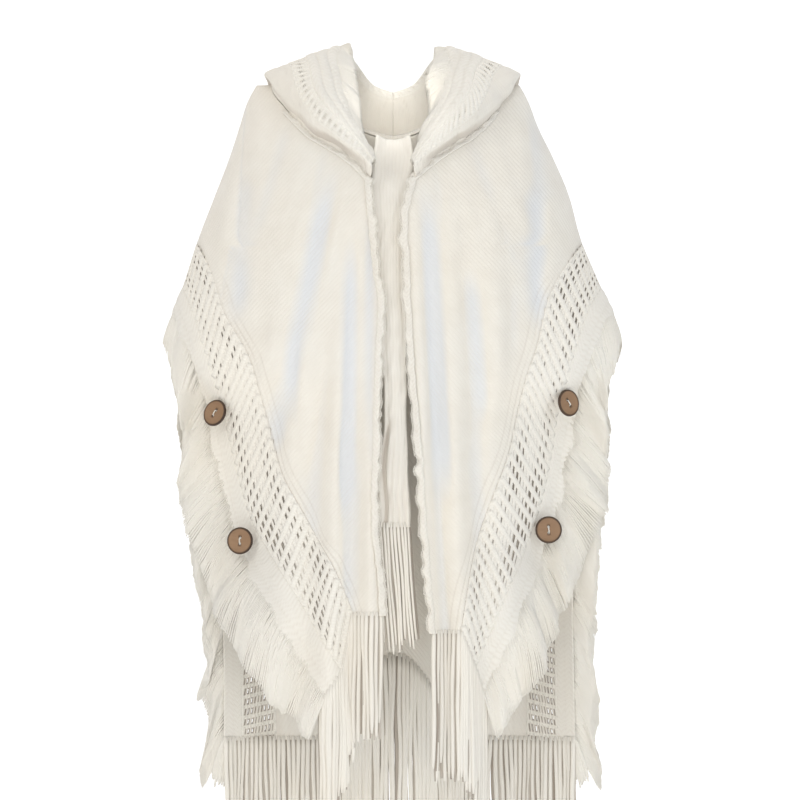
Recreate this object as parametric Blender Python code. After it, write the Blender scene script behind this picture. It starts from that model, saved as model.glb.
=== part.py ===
"""Hooded knitted poncho in its worn, hollow shape: metres, +Z up, front towards -Y.

The origin is the middle of the neck opening at the height of the back neck seam, where the
wearer's shoulders carry the garment. Tables and sizes below are in millimetres. "out" is a
distance from the middle plane towards the piece's own side. "left" is the side at -X.

Every panel lies on one of two height fields, front and back, which meet along the shoulder and
arm ridge. The borders run along the outer edges in three strips: openwork, braid and feather
fringe. Each stretch of cloth is a closed wall of even thickness.
"""

import math

import bmesh
import bpy
import numpy as np
from mathutils import Matrix, Vector

MM = 0.001
KNIT = 2.6  # wall of the plain knit
BORDER = 3.0  # wall of openwork and braid
FEATHER = 4.0  # wall of the cut-yarn fringe
STRINGS = 5.0  # wall of the string fringe
SEAM = 0.3  # gap between pieces sewn together
SEWN = 0.8  # how far each border piece is drawn back from its seam line, which slants
SHAPE = 2.2  # how square the body section is: 2 is an ellipse
EDGING = 9.0  # width of the edging along neckline and centre front
OPENWORK_WIDTH, BRAID_WIDTH = 30.0, 58.0  # on the hood
ROOT = 3.0  # how far outside the braid's edge a fringe starts, because it bends away there
STAND = 2.8  # height of the hood's lowest edge above the panels' edge
BUTTON_RADIUS, BUTTON_THICK = 19.0, 4.2
HOLE_RADIUS, HOLE_APART = 2.0, 8.0
STATIONS = 16  # steps along each border
ROWS_TOP = (58, 50, 38, 24, 8, -10, -30, -54, -80, -108, -136, -165)
BAND_BEHIND = 8.0  # how far the centre band hangs behind the fronts

CREAM = (0.82, 0.78, 0.69, 1)
WOOD = (0.27, 0.155, 0.085, 1)


def table(names, *rows):
    return {name: np.array([row[i] for row in rows], float) for i, name in enumerate(names.split())}


# Sections of the worn cloth at each height: half widths, depth, how round its side is, and the
# flat lip at the side where front and back are buttoned together.
FRONT = table(
    "z left right deep round lip lip_y lip_slope",
    (58, 190, 176, 0.5, 2.0, 0, 0, 0),
    (50, 195, 181, 24, 2.0, 0, 0, 0),
    (32, 204, 190, 48, 2.0, 0, 0, 0),
    (0, 214, 202, 78, 2.0, 0, 0, 0),
    (-43, 228, 223, 104, 2.0, 0, 0, 0),
    (-98, 249, 246, 124, 2.0, 0, 0, 0),
    (-158, 272, 262, 136, 2.0, 0, 0, 0),
    (-218, 291, 287, 144, 2.0, 0, 0, 0),
    (-267, 308, 308, 148, 1.8, 0, 0, 0),
    (-305, 298, 294, 150, 1.7, 4, -26, 0.05),
    (-343, 287, 284, 150, 1.6, 10, -30, 0.15),
    (-402, 268, 263, 150, 1.4, 26, -3, 0.35),
    (-460, 255, 252, 150, 1.4, 26, -9, 0.30),
    (-520, 244, 241, 150, 1.4, 26, -9, 0.25),
    (-578, 231, 225, 150, 1.4, 26, -5, 0.20),
    (-640, 228, 222, 150, 1.5, 10, -12, 0.10),
    (-720, 224, 220, 148, 1.6, 0, -20, 0),
    (-813, 218, 218, 146, 1.7, 0, -30, 0),
    (-900, 212, 214, 144, 1.7, 0, -34, 0),
)
BACK = table(
    "z left right deep round lip lip_y lip_slope",
    (58, 190, 176, 0.5, 2.0, 0, 0, 0),
    (50, 195, 181, 26, 2.0, 0, 0, 0),
    (32, 204, 190, 50, 2.0, 0, 0, 0),
    (0, 214, 202, 80, 2.0, 0, 0, 0),
    (-43, 228, 223, 104, 2.0, 0, 0, 0),
    (-98, 249, 246, 124, 2.0, 0, 0, 0),
    (-158, 272, 262, 132, 2.0, 0, 0, 0),
    (-218, 291, 287, 136, 2.0, 0, 0, 0),
    (-267, 308, 308, 138, 1.8, 0, 0, 0),
    (-305, 299, 294, 140, 1.7, 4, 26, 0),
    (-350, 288, 285, 140, 1.6, 10, 30, 0.10),
    (-402, 277, 276, 140, 1.5, 24, 8, 0.35),
    (-452, 266, 268, 138, 1.5, 24, 10, 0.30),
    (-510, 257, 261, 136, 1.5, 24, 9, 0.25),
    (-578, 249, 254, 134, 1.5, 24, 5, 0.20),
    (-650, 248, 260, 132, 1.6, 10, 14, 0.10),
    (-720, 258, 272, 128, 1.6, 0, 20, 0),
    (-862, 268, 286, 122, 1.6, 0, 22, 0),
    (-1050, 268, 286, 118, 1.6, 0, 24, 0),
)
# The largest folds: a ridge (height above 0) or a trough running down the cloth, at signed x.
FRONT_FOLDS = table(
    "x_top z_top x_low z_low width height",
    (-104, -60, -146, -520, 26, 7),
    (-84, -95, -112, -560, 16, -9),
    (-64, -100, -86, -640, 17, 9),
    (-44, -130, -60, -690, 13, -9),
    (-27, -150, -32, -700, 12, 8),
    (30, -140, 56, -690, 12, 7),
    (44, -100, 72, -700, 13, -10),
    (64, -90, 98, -660, 18, 9),
    (92, -120, 118, -560, 16, -8),
    (122, -70, 158, -520, 24, 7),
)
BACK_FOLDS = table(
    "x_top z_top x_low z_low width height",
    (-150, -90, -172, -860, 24, 7),
    (-98, -110, -112, -860, 22, -8),
    (-46, -215, -56, -860, 22, 9),
    (6, -225, 2, -860, 18, -7),
    (52, -215, 62, -860, 22, 8),
    (104, -110, 118, -860, 24, -8),
    (152, -90, 176, -860, 24, 7),
)
# Inner edge of each front panel: the neckline down to -80, then the centre front.
INNER = table(
    "z left right",
    (58, 170, 158),
    (48, 168, 156),
    (24, 150, 144),
    (0, 130, 126),
    (-20, 108, 105),
    (-38, 78, 76),
    (-60, 49, 46),
    (-80, 31, 24),
    (-139, 26, 12),
    (-200, 20, 15),
    (-251, 13, 17),
    (-340, 18, 23),
    (-450, 21, 33),
    (-560, 23, 40),
    (-620, 15, 45),
    (-710, 10, 52),
)
# The borders, a row for each station from the arm ridge (0) to the hem (12): the panel's edge p,
# the openwork's outer edge q, the braid's outer edge r and the feather fringe's tips f.
STRIP = "k p p_z q q_z r r_z f f_z f_y"
BORDERS = {
    ("front", "left"): table(
        STRIP,
        (0, 274, -165, 293, -224, 308, -267, 322, -302, 0),
        (1, 248, -216, 274, -267, 298, -305, 310, -343, -10),
        (2, 238, -253, 263, -305, 287, -343, 301, -382, -12),
        (4, 200, -323, 239, -385, 264, -418, 294, -458, -6),
        (5, 185, -371, 228, -434, 254, -466, 302, -504, -4),
        (6, 171, -426, 214, -491, 244, -520, 293, -552, -4),
        (7, 153, -486, 196, -550, 231, -578, 268, -620, -8),
        (8, 127, -535, 169, -595, 214, -623, 249, -675, -14),
        (10, 83, -613, 119, -675, 160, -712, 189, -775, -12),
        (12, 55, -679, 71, -756, 101, -806, 126, -842, -6),
    ),
    ("front", "right"): table(
        STRIP,
        (0, 265, -165, 290, -224, 308, -267, 319, -300, 0),
        (1, 233, -208, 270, -257, 293, -301, 307, -340, -14),
        (2, 217, -240, 258, -291, 284, -333, 298, -372, -12),
        (4, 200, -308, 238, -363, 263, -402, 300, -440, -6),
        (5, 186, -349, 228, -406, 255, -445, 305, -480, -4),
        (6, 174, -396, 221, -455, 245, -494, 298, -533, -4),
        (7, 161, -455, 210, -508, 234, -550, 276, -592, -8),
        (8, 141, -511, 195, -559, 217, -601, 251, -648, -14),
        (10, 112, -596, 155, -654, 178, -696, 205, -756, -12),
        (12, 95, -704, 113, -752, 129, -802, 152, -838, -6),
    ),
    ("back", "left"): table(
        STRIP,
        (0, 274, -165, 293, -224, 308, -267, 322, -302, 0),
        (1, 262, -225, 284, -270, 299, -305, 313, -342, 10),
        (2, 248, -290, 272, -325, 288, -350, 304, -388, 12),
        (4, 222, -420, 250, -440, 266, -452, 296, -488, 6),
        (6, 202, -550, 232, -560, 250, -566, 284, -602, 5),
        (8, 180, -650, 218, -656, 241, -660, 268, -696, 8),
        (10, 170, -755, 214, -758, 238, -760, 266, -796, 8),
        (12, 165, -862, 213, -862, 238, -862, 269, -902, 8),
    ),
    ("back", "right"): table(
        STRIP,
        (0, 265, -165, 290, -224, 308, -267, 319, -300, 0),
        (1, 252, -225, 276, -265, 294, -300, 309, -338, 10),
        (2, 240, -290, 266, -320, 285, -345, 303, -385, 12),
        (4, 222, -420, 250, -440, 268, -452, 302, -488, 6),
        (6, 208, -550, 238, -560, 255, -566, 290, -602, 5),
        (8, 196, -650, 230, -656, 252, -660, 284, -696, 8),
        (10, 191, -755, 231, -758, 254, -760, 287, -796, 8),
        (12, 189, -862, 232, -862, 256, -862, 291, -902, 8),
    ),
}
# Guide lines of one half of the hood, from the centre front (0) over the shoulder (0.54) to the
# centre back (1). Its cloth starts at the neck seam and passes them in this order.
GUIDE = "s out y z"
HOOD = (
    table(  # stand above the neck seam, at the back the pouch's inner wall
        GUIDE,
        (0, 31, -121, -72), (0.10, 46, -113, -55), (0.22, 79, -98, -27), (0.34, 111, -80, -9),
        (0.45, 153, -38, 34), (0.54, 174, 0, 67), (0.66, 146, 60, 26), (0.78, 100, 100, -30),
        (0.90, 48, 134, -80), (1, 0, 140, -95),
    ),
    table(  # lower fold that overhangs the neck seam, at the back the pouch's bottom
        GUIDE,
        (0, 29, -129, -62), (0.10, 44, -125, -44), (0.22, 80, -112, -18), (0.34, 111, -96, 4),
        (0.45, 152, -52, 46), (0.54, 179, -4, 75), (0.66, 157, 82, 10), (0.78, 104, 122, -72),
        (0.90, 50, 148, -150), (1, 0, 156, -185),
    ),
    table(  # middle of the top, at the back the pouch's outer wall
        GUIDE,
        (0, 29, -127, -55), (0.10, 47, -119, -29), (0.22, 78, -104, 5), (0.34, 104, -86, 34),
        (0.45, 133, -47, 67), (0.54, 153, -4, 86), (0.66, 138, 70, 68), (0.78, 96, 126, 24),
        (0.90, 46, 166, -42), (1, 0, 174, -62),
    ),
    table(  # crest, at the back the inside of the rim
        GUIDE,
        (0, 28, -122, -50), (0.10, 48, -109, -19), (0.22, 74, -91, 17), (0.34, 93, -70, 46),
        (0.45, 110, -37, 78), (0.54, 120, -2, 96), (0.66, 98, 40, 104), (0.78, 61, 96, 94),
        (0.90, 27, 134, 57), (1, 0, 142, 47),
    ),
    table(  # just past the crest, at the back the outside of the rim
        GUIDE,
        (0, 27, -118, -48), (0.10, 44, -103, -18), (0.22, 65, -82, 15), (0.34, 80, -62, 43),
        (0.45, 92, -33, 76), (0.54, 99, 0, 98), (0.66, 84, 41, 111), (0.78, 61, 105, 103),
        (0.90, 28, 145, 64), (1, 0, 153, 54),
    ),
    table(  # free edge
        GUIDE,
        (0, 26, -114, -49), (0.10, 40, -96, -24), (0.22, 55, -74, 6), (0.34, 65, -53, 31),
        (0.45, 73, -28, 64), (0.54, 78, 2, 93), (0.66, 73, 43, 113), (0.78, 64, 116, 97),
        (0.90, 34, 158, 50), (1, 0, 166, 36),
    ),
)
HOOD_TIPS = table(
    GUIDE,
    (0, 26, -104, -54), (0.10, 33, -76, -34), (0.22, 42, -53, -7), (0.34, 46, -36, 21),
    (0.45, 48, -18, 55), (0.54, 53, 7, 88), (0.66, 59, 46, 114), (0.72, 62, 91, 106),
    (0.78, 67, 129, 89), (0.84, 58, 157, 57),
    (0.90, 40, 174, 20), (1, 2.5, 182, 2),
)
CENTRE_BAND = table(  # it hangs just inside the fronts, its top tucked behind the hood's front ends
    "z x half bulge",
    (-14, 0, 23, -12), (-62, 0, 25, -5), (-94, -3, 27, 2), (-130, -3, 27, 3), (-230, -2, 24, 4),
    (-290, 0, 20, 5), (-335, 2.5, 16, 5),
    (-410, 3.5, 14.5, 5), (-480, 0, 21, 4), (-557, 0, 24, 3),
)
# String fringe hung from each hem: height of its tips at signed x.
FRONT_TIPS = table(
    "x z",
    (-105, -990), (-85, -955), (-71, -925), (-55, -862), (-30, -848), (-8, -838),
    (40, -880), (60, -906), (95, -900), (113, -940), (133, -990),
)
BACK_TIPS = table("x z", (-240, -1040), (-120, -1046), (0, -1040), (130, -1046), (258, -1038))
ARCH_HALF, ARCH_RISE = 115, 118  # the back's hem is drawn up in the middle
# On the braid of each front: the disc's middle, the way it leans out and the turn of its two holes.
BUTTONS = table(
    "side x z lean_x lean_y lean_z turn",
    (-1, -248, -400, -0.31, -0.78, 0.54, 62), (-1, -213, -578, 0.05, -1, 0.12, 88),
    (1, 244, -386, 0.46, -0.72, 0.50, 120), (1, 217, -563, -0.10, -0.97, 0.18, 92),
)


def smooth(xs, ys, x):
    """Monotone cubic through (xs, ys), xs rising."""
    x = np.asarray(x, float)
    h = np.diff(xs)
    d = np.diff(ys) / h
    m = np.empty(len(ys))
    m[0], m[-1] = d[0], d[-1]
    same = d[:-1] * d[1:] > 0
    m[1:-1] = np.where(same, 2 * d[:-1] * d[1:] / np.where(same, d[:-1] + d[1:], 1), 0)
    i = np.clip(np.searchsorted(xs, x, side="right") - 1, 0, len(xs) - 2)
    t = np.clip((x - xs[i]) / h[i], 0, 1)
    a, b = ys[i], ys[i + 1]
    return (
        a * (1 + 2 * t) * (1 - t) ** 2
        + b * t * t * (3 - 2 * t)
        + h[i] * (m[i] * t * (1 - t) ** 2 - m[i + 1] * t * t * (1 - t))
    )


def at(rows, column, z):
    return smooth(-rows["z"], rows[column], -np.asarray(z, float))


def half_width(face, x, z):
    rows = FRONT if face == "front" else BACK
    return np.where(np.asarray(x) < 0, at(rows, "left", z), at(rows, "right", z))


def folds(face, x, z):
    rows = FRONT_FOLDS if face == "front" else BACK_FOLDS
    total = np.zeros(np.broadcast(x, z).shape)
    for i in range(len(rows["height"])):
        down = (rows["z_top"][i] - z) / (rows["z_top"][i] - rows["z_low"][i])
        middle = rows["x_top"][i] + (rows["x_low"][i] - rows["x_top"][i]) * down
        grow = np.clip(down * 1.6, 0, 1)
        grow = grow * grow * (3 - 2 * grow)
        total = total + rows["height"][i] * grow * np.exp(-(((x - middle) / rows["width"][i]) ** 2))
    return total


def cloth_y(face, x, z):
    """Height field of the front or the back: y at (x, z)."""
    x, z = np.broadcast_arrays(np.asarray(x, float), np.asarray(z, float))
    rows = FRONT if face == "front" else BACK
    sign = -1 if face == "front" else 1
    wide = half_width(face, x, z)
    lip, lip_y, slope = (at(rows, name, z) for name in ("lip", "lip_y", "lip_slope"))
    flat = wide - lip
    start = lip_y - slope * lip
    total = np.zeros(x.shape)
    # The crease where the lip begins is rounded by averaging over a stretch as wide as the lip.
    for step in (-0.5, -0.25, 0, 0.25, 0.5):
        out = np.abs(np.abs(x) + step * lip)
        q = np.clip(out / flat, 0, 1)
        bulge = (1 - q**SHAPE) ** (1 / at(rows, "round", z))
        y = start + (sign * at(rows, "deep", z) - start) * bulge
        total = total + np.where(out > flat, lip_y - slope * (wide - out), y) / 5
    y = total
    fade = np.clip((1 - np.abs(x) / flat) / 0.25, 0, 1)
    return y + sign * (folds(face, x, z) * fade * fade * (3 - 2 * fade) + SEAM / 2)


def cloth_normal(face, x, z):
    """Unit normals of the height field, pointing away from the body."""
    step = 0.4
    sign = -1 if face == "front" else 1
    wide = half_width(face, x, z)
    side = np.where(x < 0, -1.0, 1.0)
    x_a = np.clip(np.abs(x) - step, 0, None) * side
    x_b = np.minimum(np.abs(x) + step, np.maximum(wide, np.abs(x))) * side
    near = np.abs(x_b - x_a) > step / 2
    by_x = (cloth_y(face, x_b, z) - cloth_y(face, x_a, z)) / np.where(near, x_b - x_a, 1)
    by_z = (cloth_y(face, x, z + step) - cloth_y(face, x, z - step)) / (2 * step)
    normal = np.stack([-by_x, np.ones_like(x), -by_z], -1) * sign
    # On the ridge itself the surface stands upright: its normal has no y.
    rows = FRONT if face == "front" else BACK
    on_ridge = (np.abs(x) > wide - 0.05) & (at(rows, "lip", z) < 0.01)
    lean = (half_width(face, x, z - step) - half_width(face, x, z + step)) / (2 * step)
    upright = np.stack([side, np.zeros_like(x), lean], -1)
    normal = np.where(on_ridge[..., None], upright, normal)
    normal[..., 1] = np.where(np.asarray(z) > ROWS_TOP[0] - 0.1, 0, normal[..., 1])
    return normal / np.linalg.norm(normal, axis=-1, keepdims=True)


def spaced(points, fractions):
    """Points at these fractions of a polyline's length."""
    lengths = np.concatenate([[0], np.cumsum(np.linalg.norm(np.diff(points, axis=0), axis=1))])
    want = np.asarray(fractions) * lengths[-1]
    return np.stack([np.interp(want, lengths, points[:, i]) for i in range(points.shape[1])], -1)


def shift_ends(grid, first=0.0, last=0.0):
    """The grid with its first and last columns drawn inwards along its rows, in millimetres."""
    grid = grid.copy()
    for end, inner, by in ((0, 1, first), (-1, -2, last)):
        way = grid[:, inner] - grid[:, end]
        size = np.linalg.norm(way, axis=1, keepdims=True)
        grid[:, end] += way / size * np.minimum(by, size / 3)
    return grid


def grid_normals(grid):
    along = np.gradient(grid, axis=0)
    across = np.gradient(grid, axis=1)
    normal = np.cross(along, across)
    return normal / np.maximum(np.linalg.norm(normal, axis=-1, keepdims=True), 1e-9)


def material(name, colour, roughness):
    mat = bpy.data.materials.new(name)
    mat.use_nodes = True
    shader = mat.node_tree.nodes["Principled BSDF"]
    shader.inputs["Base Color"].default_value = colour
    shader.inputs["Roughness"].default_value = roughness
    shader.inputs["Metallic"].default_value = 0.0
    return mat


def wall(name, grid, normals, thick, colour=CREAM, roughness=0.9):
    """A closed wall of this thickness about a grid of middle points (rows, columns, 3) in mm."""
    rows, columns = grid.shape[:2]
    points = np.concatenate(
        [(grid + normals * thick / 2).reshape(-1, 3), (grid - normals * thick / 2).reshape(-1, 3)]
    )
    index = np.arange(rows * columns).reshape(rows, columns)
    under = index + rows * columns
    faces = []
    for i in range(rows - 1):
        for j in range(columns - 1):
            a, b, c, d = index[i, j], index[i, j + 1], index[i + 1, j + 1], index[i + 1, j]
            faces.append((a, b, c, d))
            a, b, c, d = under[i, j], under[i + 1, j], under[i + 1, j + 1], under[i, j + 1]
            faces.append((a, b, c, d))
    rim = (
        [(0, j) for j in range(columns)]
        + [(i, columns - 1) for i in range(1, rows)]
        + [(rows - 1, j) for j in range(columns - 2, -1, -1)]
        + [(i, 0) for i in range(rows - 2, 0, -1)]
    )
    for (a, b), (c, d) in zip(rim, rim[1:] + rim[:1]):
        faces.append((index[a, b], under[a, b], under[c, d], index[c, d]))
    mesh = bpy.data.meshes.new(name)
    mesh.from_pydata((points * MM).tolist(), [], [tuple(map(int, face)) for face in faces])
    shape = bmesh.new()
    shape.from_mesh(mesh)
    bmesh.ops.recalc_face_normals(shape, faces=shape.faces)
    if shape.calc_volume(signed=True) < 0:
        bmesh.ops.reverse_faces(shape, faces=shape.faces)
    shape.to_mesh(mesh)
    shape.free()
    mesh.shade_smooth()
    mesh.set_sharp_from_angle(angle=math.radians(50))
    obj = bpy.data.objects.new(name, mesh)
    mesh.materials.append(material(name, colour, roughness))
    bpy.context.scene.collection.objects.link(obj)
    return obj


def border_point(face, side, letter, k):
    """(x, z) of a border line at station k; at the arm it lies on the ridge."""
    rows = BORDERS[face, side]
    sign = -1 if side == "left" else 1
    out = smooth(rows["k"], rows[letter], k)
    z = smooth(rows["k"], rows[letter + "_z"], k)
    if letter != "f":
        out = np.where(np.asarray(k) == 0, half_width(face, sign, z), out)
    return sign * out, z


def section(face, x_in, x_out, z, fractions):
    """Points of the section at one height, from x_in to x_out, spaced by these fractions."""
    side = -1 if x_out < 0 else 1
    wide = float(half_width(face, side, z))
    far = math.acos(min(1, max(-1, (min(abs(x_out) / wide, 1)) ** 1.1)))
    near = math.acos(min(1, (abs(x_in) / wide) ** 1.1))
    turn = np.linspace(near, far, 60)
    x = side * wide * np.clip(np.cos(turn), 0, 1) ** (1 / 1.1)
    x[0], x[-1] = x_in, x_out
    z = np.full_like(x, z)
    return spaced(np.stack([x, cloth_y(face, x, z), z], -1), fractions)


K = np.linspace(0, 12, STATIONS + 1)


def front_panel(side):
    """Grid of one front: columns from its inner edge to the arm ridge or the openwork."""
    sign = -1 if side == "left" else 1
    heights = [float(z) for z in ROWS_TOP] + [float(z) for z in border_point("front", side, "p", K)[1][1:]]
    ends = [sign * float(half_width("front", sign, z)) for z in ROWS_TOP]
    ends += [float(x) for x in border_point("front", side, "p", K)[0][1:]]
    grid = []
    for z, x_out in zip(heights, ends):
        x_in = sign * float(at(INNER, side, z))
        row = section("front", x_in, x_out, z, np.linspace(0, 1, 200))
        length = np.linalg.norm(np.diff(row, axis=0), axis=1).sum()
        first = min(EDGING / length, 0.4)
        row = spaced(row, np.concatenate([[0], first + (1 - first) * np.linspace(0, 1, 7)]))
        row[:, 1] = cloth_y("front", row[:, 0], row[:, 2])
        grid.append(row)
    return np.array(grid)


def neck_height(out, end):
    """Height of the back neckline."""
    return -17 + 75 * np.clip(out / end, 0, 1) ** 1.35


def back_row(number, side):
    """One half of an upper row of the back, from the arm ridge to the middle."""
    sign = -1 if side == "left" else 1
    z_side = ROWS_TOP[number]
    z_mid = -17 + (ROWS_TOP[-1] + 17) * number / (len(ROWS_TOP) - 1)
    wide = float(half_width("back", sign, z_side))
    fractions = np.concatenate([[0], 0.085 + 0.915 * np.linspace(0, 1, 7)])
    if number == 0:
        end = float(at(INNER, side, z_side))
        out = end * np.linspace(1, 0, 120)
        z = neck_height(out, end)
        x = sign * out
        neck = spaced(np.stack([x, cloth_y("back", x, z), z], -1), np.linspace(0, 1, 7))
        edge = np.array([[sign * wide, SEAM / 2, z_side]])
        row = np.concatenate([edge, neck])
    else:
        turn = np.linspace(0, math.pi / 2, 120)
        out = wide * np.cos(turn) ** (1 / 1.1)
        z = z_mid + (z_side - z_mid) * (out / wide) ** 1.35
        z[0], out[-1] = z_side, 0
        x = sign * out
        x[0] = sign * wide
        row = spaced(np.stack([x, cloth_y("back", x, z), z], -1), fractions)
    row[:, 1] = cloth_y("back", row[:, 0], row[:, 2])
    return row


def arched(x, z):
    """Height of a point of the back: towards the hem, the middle is drawn up."""
    bell = 0.5 + 0.5 * np.cos(math.pi * np.clip((x - 4) / ARCH_HALF, -1, 1))
    low = np.clip((-z - 560) / 302, 0, 1)
    return z + ARCH_RISE * bell * low**2


def back_panel():
    grid = []
    for number in range(len(ROWS_TOP)):
        left, right = back_row(number, "left"), back_row(number, "right")
        grid.append(np.concatenate([left, right[-2::-1]]))
    heights = border_point("back", "left", "p", K)[1][1:]
    left_x = border_point("back", "left", "p", K)[0][1:]
    right_x = border_point("back", "right", "p", K)[0][1:]
    for z, a, b in zip(heights, left_x, right_x):
        halves = []
        for x_out in (float(a), float(b)):
            fractions = np.concatenate([[0], 0.085 + 0.915 * np.linspace(0, 1, 7)])
            row = section("back", 0.0, x_out, float(z), 1 - fractions)
            row[:, 2] = arched(row[:, 0], row[:, 2])
            row[:, 1] = cloth_y("back", row[:, 0], row[:, 2])
            halves.append(row)
        grid.append(np.concatenate([halves[0], halves[1][-2::-1]]))
    return np.array(grid)


def border_grid(face, side, inner, outer, columns):
    """Grid between two border lines, a row for each station."""
    a_x, a_z = border_point(face, side, inner, K)
    b_x, b_z = border_point(face, side, outer, K)
    share = np.linspace(0, 1, columns + 1)
    x = a_x[:, None] + (b_x - a_x)[:, None] * share
    z = a_z[:, None] + (b_z - a_z)[:, None] * share
    sign = -1 if side == "left" else 1
    x[0] = sign * half_width(face, sign, z[0])
    return np.stack([x, cloth_y(face, x, z), z], -1)


def panel_normals(face, grid):
    return cloth_normal(face, grid[..., 0], grid[..., 2])


def feather_grid(face, side):
    """The fringe's reach: from the braid's edge to its tips."""
    rows = BORDERS[face, side]
    root_x, root_z = border_point(face, side, "r", K)
    root = np.stack([root_x, cloth_y(face, root_x, root_z), root_z], -1)
    tip_x, tip_z = border_point(face, side, "f", K)
    tip_y = root[:, 1] + smooth(rows["k"], rows["f_y"], K)
    if face == "front":
        tip_y = np.minimum(tip_y, -SEAM / 2 - 4 * (K > 0))
    else:
        tip_y = np.maximum(tip_y, SEAM / 2 + 4 * (K > 0))
    tip = np.stack([tip_x, tip_y, tip_z], -1)
    share = np.array([0, 0.5, 1])[None, :, None]
    return root[:, None] * (1 - share) + tip[:, None] * share


def build_feather(face, side):
    grid = shift_ends(feather_grid(face, side), ROOT)
    normals = grid_normals(grid)
    # Where front and back meet on the arm, the fringe's edge stands in the plane between them.
    grid[0, :, 1] = (-1 if face == "front" else 1) * SEAM / 2
    normals[0, :, 1] = 0
    normals[0] /= np.linalg.norm(normals[0], axis=-1, keepdims=True)
    wall(f"{face}_fringe_{side}", grid, normals, FEATHER)


def catmull(points, steps):
    """Smooth curve through control points, with their indices along it."""
    points = np.asarray(points, float)
    ends = np.concatenate([[2 * points[0] - points[1]], points, [2 * points[-1] - points[-2]]])
    curve, index = [], []
    for i in range(len(points) - 1):
        a, b, c, d = ends[i : i + 4]
        gaps = [max(np.linalg.norm(q - p), 1e-6) ** 0.5 for p, q in ((a, b), (b, c), (c, d))]
        t0, t1, t2, t3 = np.cumsum([0] + gaps)
        for t in np.linspace(t1, t2, steps, endpoint=i == len(points) - 2):
            p = (t1 - t) / (t1 - t0) * a + (t - t0) / (t1 - t0) * b
            q = (t2 - t) / (t2 - t1) * b + (t - t1) / (t2 - t1) * c
            r = (t3 - t) / (t3 - t2) * c + (t - t2) / (t3 - t2) * d
            u = (t2 - t) / (t2 - t0) * p + (t - t0) / (t2 - t0) * q
            v = (t3 - t) / (t3 - t1) * q + (t - t1) / (t3 - t1) * r
            curve.append((t2 - t) / (t2 - t1) * u + (t - t1) / (t2 - t1) * v)
            index.append(i + (t - t1) / (t2 - t1))
    return np.array(curve), np.array(index)


def guide(rows, s, sign):
    return np.stack(
        [sign * smooth(rows["s"], rows["out"], s), smooth(rows["s"], rows["y"], s), smooth(rows["s"], rows["z"], s)], -1
    )


def hood_base(side, front, back):
    """The neck seam of one half, from the centre front to the centre back."""
    inner = front[: ROWS_TOP.index(-80) + 1, 0][::-1]
    row = back[0]
    neck = row[1:8] if side == "left" else row[7:-1][::-1]
    return np.concatenate([inner, neck[1:]])


def hood_grid(side, base):
    """(grid, column where the openwork starts, column where the braid starts)."""
    sign = -1 if side == "left" else 1
    lengths = np.concatenate([[0], np.cumsum(np.linalg.norm(np.diff(base, axis=0), axis=1))])
    shoulder = lengths[ROWS_TOP.index(-80)]
    s = np.where(
        lengths <= shoulder,
        0.54 * lengths / shoulder,
        0.54 + 0.46 * (lengths - shoulder) / (lengths[-1] - shoulder),
    )
    grid = []
    for place, root in zip(s, base):
        # The cloth leaves the neck seam upwards, and behind the shoulders outwards too.
        behind = min(max((place - 0.54) / 0.1, 0), 1)
        away = cloth_normal("back" if behind else "front", root[:1], root[2:])[0] * np.array([1, 1, 0])
        first = root + np.array([0, 0, STAND])
        second = first + np.array([0, 0, 4.5]) + away / max(np.linalg.norm(away), 0.1) * 5.5 * behind
        curve, index = catmull([first, second] + [guide(rows, place, sign) for rows in HOOD], 24)
        index = index - 1
        run = np.concatenate([[0], np.cumsum(np.linalg.norm(np.diff(curve, axis=0), axis=1))])
        fold = np.interp(2, index, run)
        share = float(np.interp(place, (0.50, 0.78), (1, 0.435)))  # narrower at the back
        trim = min((OPENWORK_WIDTH + BRAID_WIDTH) * share, 0.55 * run[-1])
        opening = max(run[-1] - trim, fold + 3)
        braid = run[-1] - (run[-1] - opening) * BRAID_WIDTH / (OPENWORK_WIDTH + BRAID_WIDTH)
        want = [np.interp(i, index, run) for i in (-1, 0, 0.5, 1, 1.6)]
        want += list(np.linspace(fold, opening, 6))
        want += [(opening + braid) / 2, braid, (braid + run[-1]) / 2, run[-1]]
        row = np.stack([np.interp(want, run, curve[:, i]) for i in range(3)], -1)
        # The halves meet in the middle plane.
        row[:, 0] = sign * np.maximum(np.abs(row[:, 0]), SEAM / 2)
        grid.append(row)
    grid = np.array(grid)
    grid[-1, :, 0] = sign * SEAM / 2
    return grid, s


def build_hood(side, base):
    sign = -1 if side == "left" else 1
    grid, s = hood_grid(side, base)
    normals = grid_normals(grid)
    normals[-1, :, 0] = 0
    normals /= np.linalg.norm(normals, axis=-1, keepdims=True)
    for name, first, last, thick in (
        ("hood", 0, 10, KNIT), ("hood_openwork", 10, 12, KNIT), ("hood_braid", 12, 14, KNIT),
    ):
        piece = shift_ends(
            grid[:, first : last + 1],
            SEWN if first else 0,
            SEWN,
        )
        wall(f"{name}_{side}", piece, normals[:, first : last + 1], thick)
    root = grid[:, -1]
    tip = guide(HOOD_TIPS, s, sign)
    share = np.array([0, 0.5, 1])[None, :, None]
    fringe = shift_ends(root[:, None] * (1 - share) + tip[:, None] * share, ROOT)
    fringe[-1, :, 0] = sign * (SEAM / 2)
    wall_normals = grid_normals(fringe)
    wall_normals[-1, :, 0] = 0
    wall_normals /= np.linalg.norm(wall_normals, axis=-1, keepdims=True)
    wall(f"hood_fringe_{side}", fringe, wall_normals, KNIT)


def build_edging(side, grid, normals):
    start = 3
    a, b = grid[start:, 0], grid[start:, 1]
    lift = KNIT + SEAM + 0.1
    strip = np.stack([a + 0.15 * (b - a), b], 1)
    out = np.stack([normals[start:, 0], normals[start:, 1]], 1)
    wall(f"front_edging_{side}", strip + out * lift, out, KNIT)


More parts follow.
